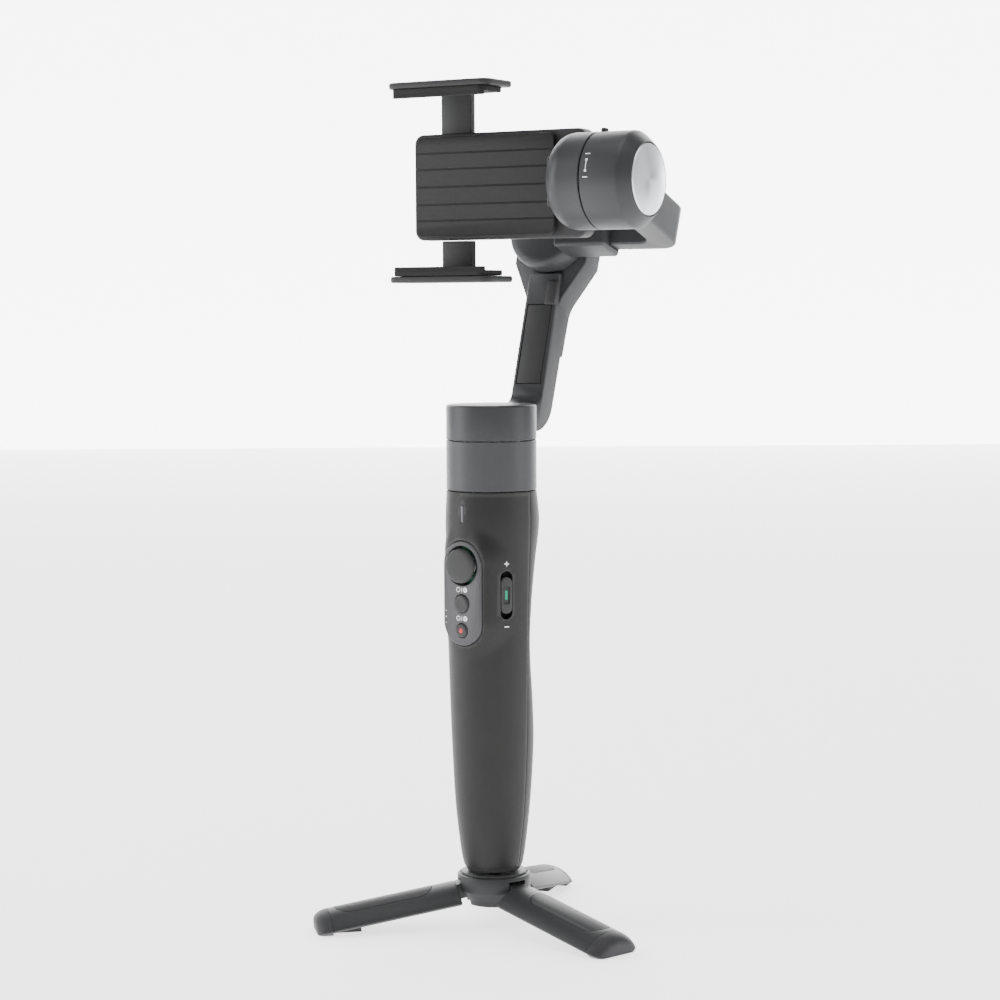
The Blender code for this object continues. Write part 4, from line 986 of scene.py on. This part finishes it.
def finish_carried():
    """The nodes kept as they are: welded, slightly rounded and finished."""
    for material, names in CARRIED.items():
        for name in names:
            obj = frame["nodes"][name]
            obj.data.materials.clear()
            obj.data.materials.append(material)
            obj.data.shade_smooth()
            weld = obj.modifiers.new("weld", "WELD")
            weld.merge_threshold = 0.00001
            rounding = obj.modifiers.new("rounded_edges", "BEVEL")
            rounding.width = 0.15 * MM
            rounding.segments = 2
            rounding.limit_method = "ANGLE"
            rounding.angle_limit = math.radians(40.0)
            rounding.harden_normals = True


# ---------------------------------------------------------------- studio

def glowing(name, strength, floor_colour):
    """A lit studio surface: pale, with an even glow of its own."""
    material = coated(name, floor_colour, 0.8, grain=240.0, bump=0.02, mottle=0.01, edge_wear_and_highlight=0.0,
                      specular=0.1)
    shader = material.node_tree.nodes["Principled BSDF"]
    shader.inputs["Emission Color"].default_value = (1.0, 1.0, 1.0, 1.0)
    shader.inputs["Emission Strength"].default_value = strength
    return material


def build_floor():
    bm = bmesh.new()
    bmesh.ops.create_circle(bm, cap_ends=True, segments=96, radius=7.0)
    mesh = mesh_from(bm)
    mesh.materials.append(glowing("pale_floor", FLOOR_GLOW, (0.86, 0.86, 0.86)))
    floor = bpy.data.objects.new("studio_floor", mesh)
    bpy.context.scene.collection.objects.link(floor)
    floor.location.z = -0.0002
    bm = bmesh.new()
    bmesh.ops.create_grid(bm, x_segments=1, y_segments=1, size=1.0)
    mesh = mesh_from(bm)
    mesh.materials.append(glowing("pale_backdrop", BACKDROP_GLOW, (0.8, 0.8, 0.8)))
    backdrop = bpy.data.objects.new("studio_backdrop", mesh)
    bpy.context.scene.collection.objects.link(backdrop)
    backdrop.scale = (BACKDROP_HALF_WIDTH, BACKDROP_HALF_WIDTH, 1.0)
    away = Matrix.Rotation(CAMERA_AZIMUTH, 4, "Z") @ Vector((0.0, BACKDROP_AWAY, 0.0))
    backdrop.location = (away.x, away.y, 0.5)
    backdrop.rotation_euler = (math.pi / 2.0, 0.0, CAMERA_AZIMUTH)


def soft_light(name, place, target, size, power):
    light = bpy.data.lights.new(name, "AREA")
    light.shape = "RECTANGLE"
    light.size, light.size_y = size
    light.energy = power
    obj = bpy.data.objects.new(name, light)
    bpy.context.scene.collection.objects.link(obj)
    obj.location = place
    aim = Vector(target) - Vector(place)
    obj.rotation_euler = aim.to_track_quat("-Z", "Y").to_euler()


def build_light():
    """An even white room, a soft key from the left, a soft top and a paler right edge."""
    world = bpy.data.worlds.new("studio")
    bpy.context.scene.world = world
    world.use_nodes = True
    background = world.node_tree.nodes["Background"]
    background.inputs["Color"].default_value = (1.0, 1.0, 1.0, 1.0)
    background.inputs["Strength"].default_value = ROOM_STRENGTH
    target = (0.0, 0.0, 0.2)
    soft_light("key_left", (-1.3, -0.8, 0.7), target, (0.7, 1.3), 22.0)
    soft_light("fill_top", (0.2, -0.2, 1.7), target, (1.2, 1.2), 16.0)
    soft_light("edge_right", (1.5, 0.5, 0.5), target, (0.4, 1.4), 9.0)


def build_camera():
    """Level with the grip, ahead and to the right of the clamp."""
    azimuth = CAMERA_AZIMUTH
    pitch, roll = math.radians(4.497), math.radians(0.331)
    ahead = Vector((-math.sin(azimuth) * math.cos(pitch), math.cos(azimuth) * math.cos(pitch),
                    -math.sin(pitch)))
    data = bpy.data.cameras.new("camera")
    data.sensor_width = 36.0
    data.lens = 89.06
    data.clip_start = 0.01
    data.clip_end = 50.0
    camera = bpy.data.objects.new("camera", data)
    bpy.context.scene.collection.objects.link(camera)
    facing = ahead.to_track_quat("-Z", "Y").to_matrix().to_4x4()
    place = Matrix.Translation((PAN_POS.x + 0.5119, PAN_POS.y - 0.8532, 0.2509))
    camera.matrix_world = place @ facing @ Matrix.Rotation(-roll, 4, "Z")
    bpy.context.scene.camera = camera


build_grip()
build_panel()
build_panel_marks()
build_slider()
build_pan()
build_pan_arm()
build_roll()
build_cross_arm()
build_tilt_motor()
build_tilt_rotor()
build_clamp()
build_jaw("lower", "tilt", 1.0, PHONE_LOW)
build_jaw("upper", "upper_jaw", -1.0, PHONE_HIGH)
build_hub()
for leg_number in (1, 2, 3):
    build_leg(leg_number)
finish_carried()
build_floor()
build_light()
build_camera()
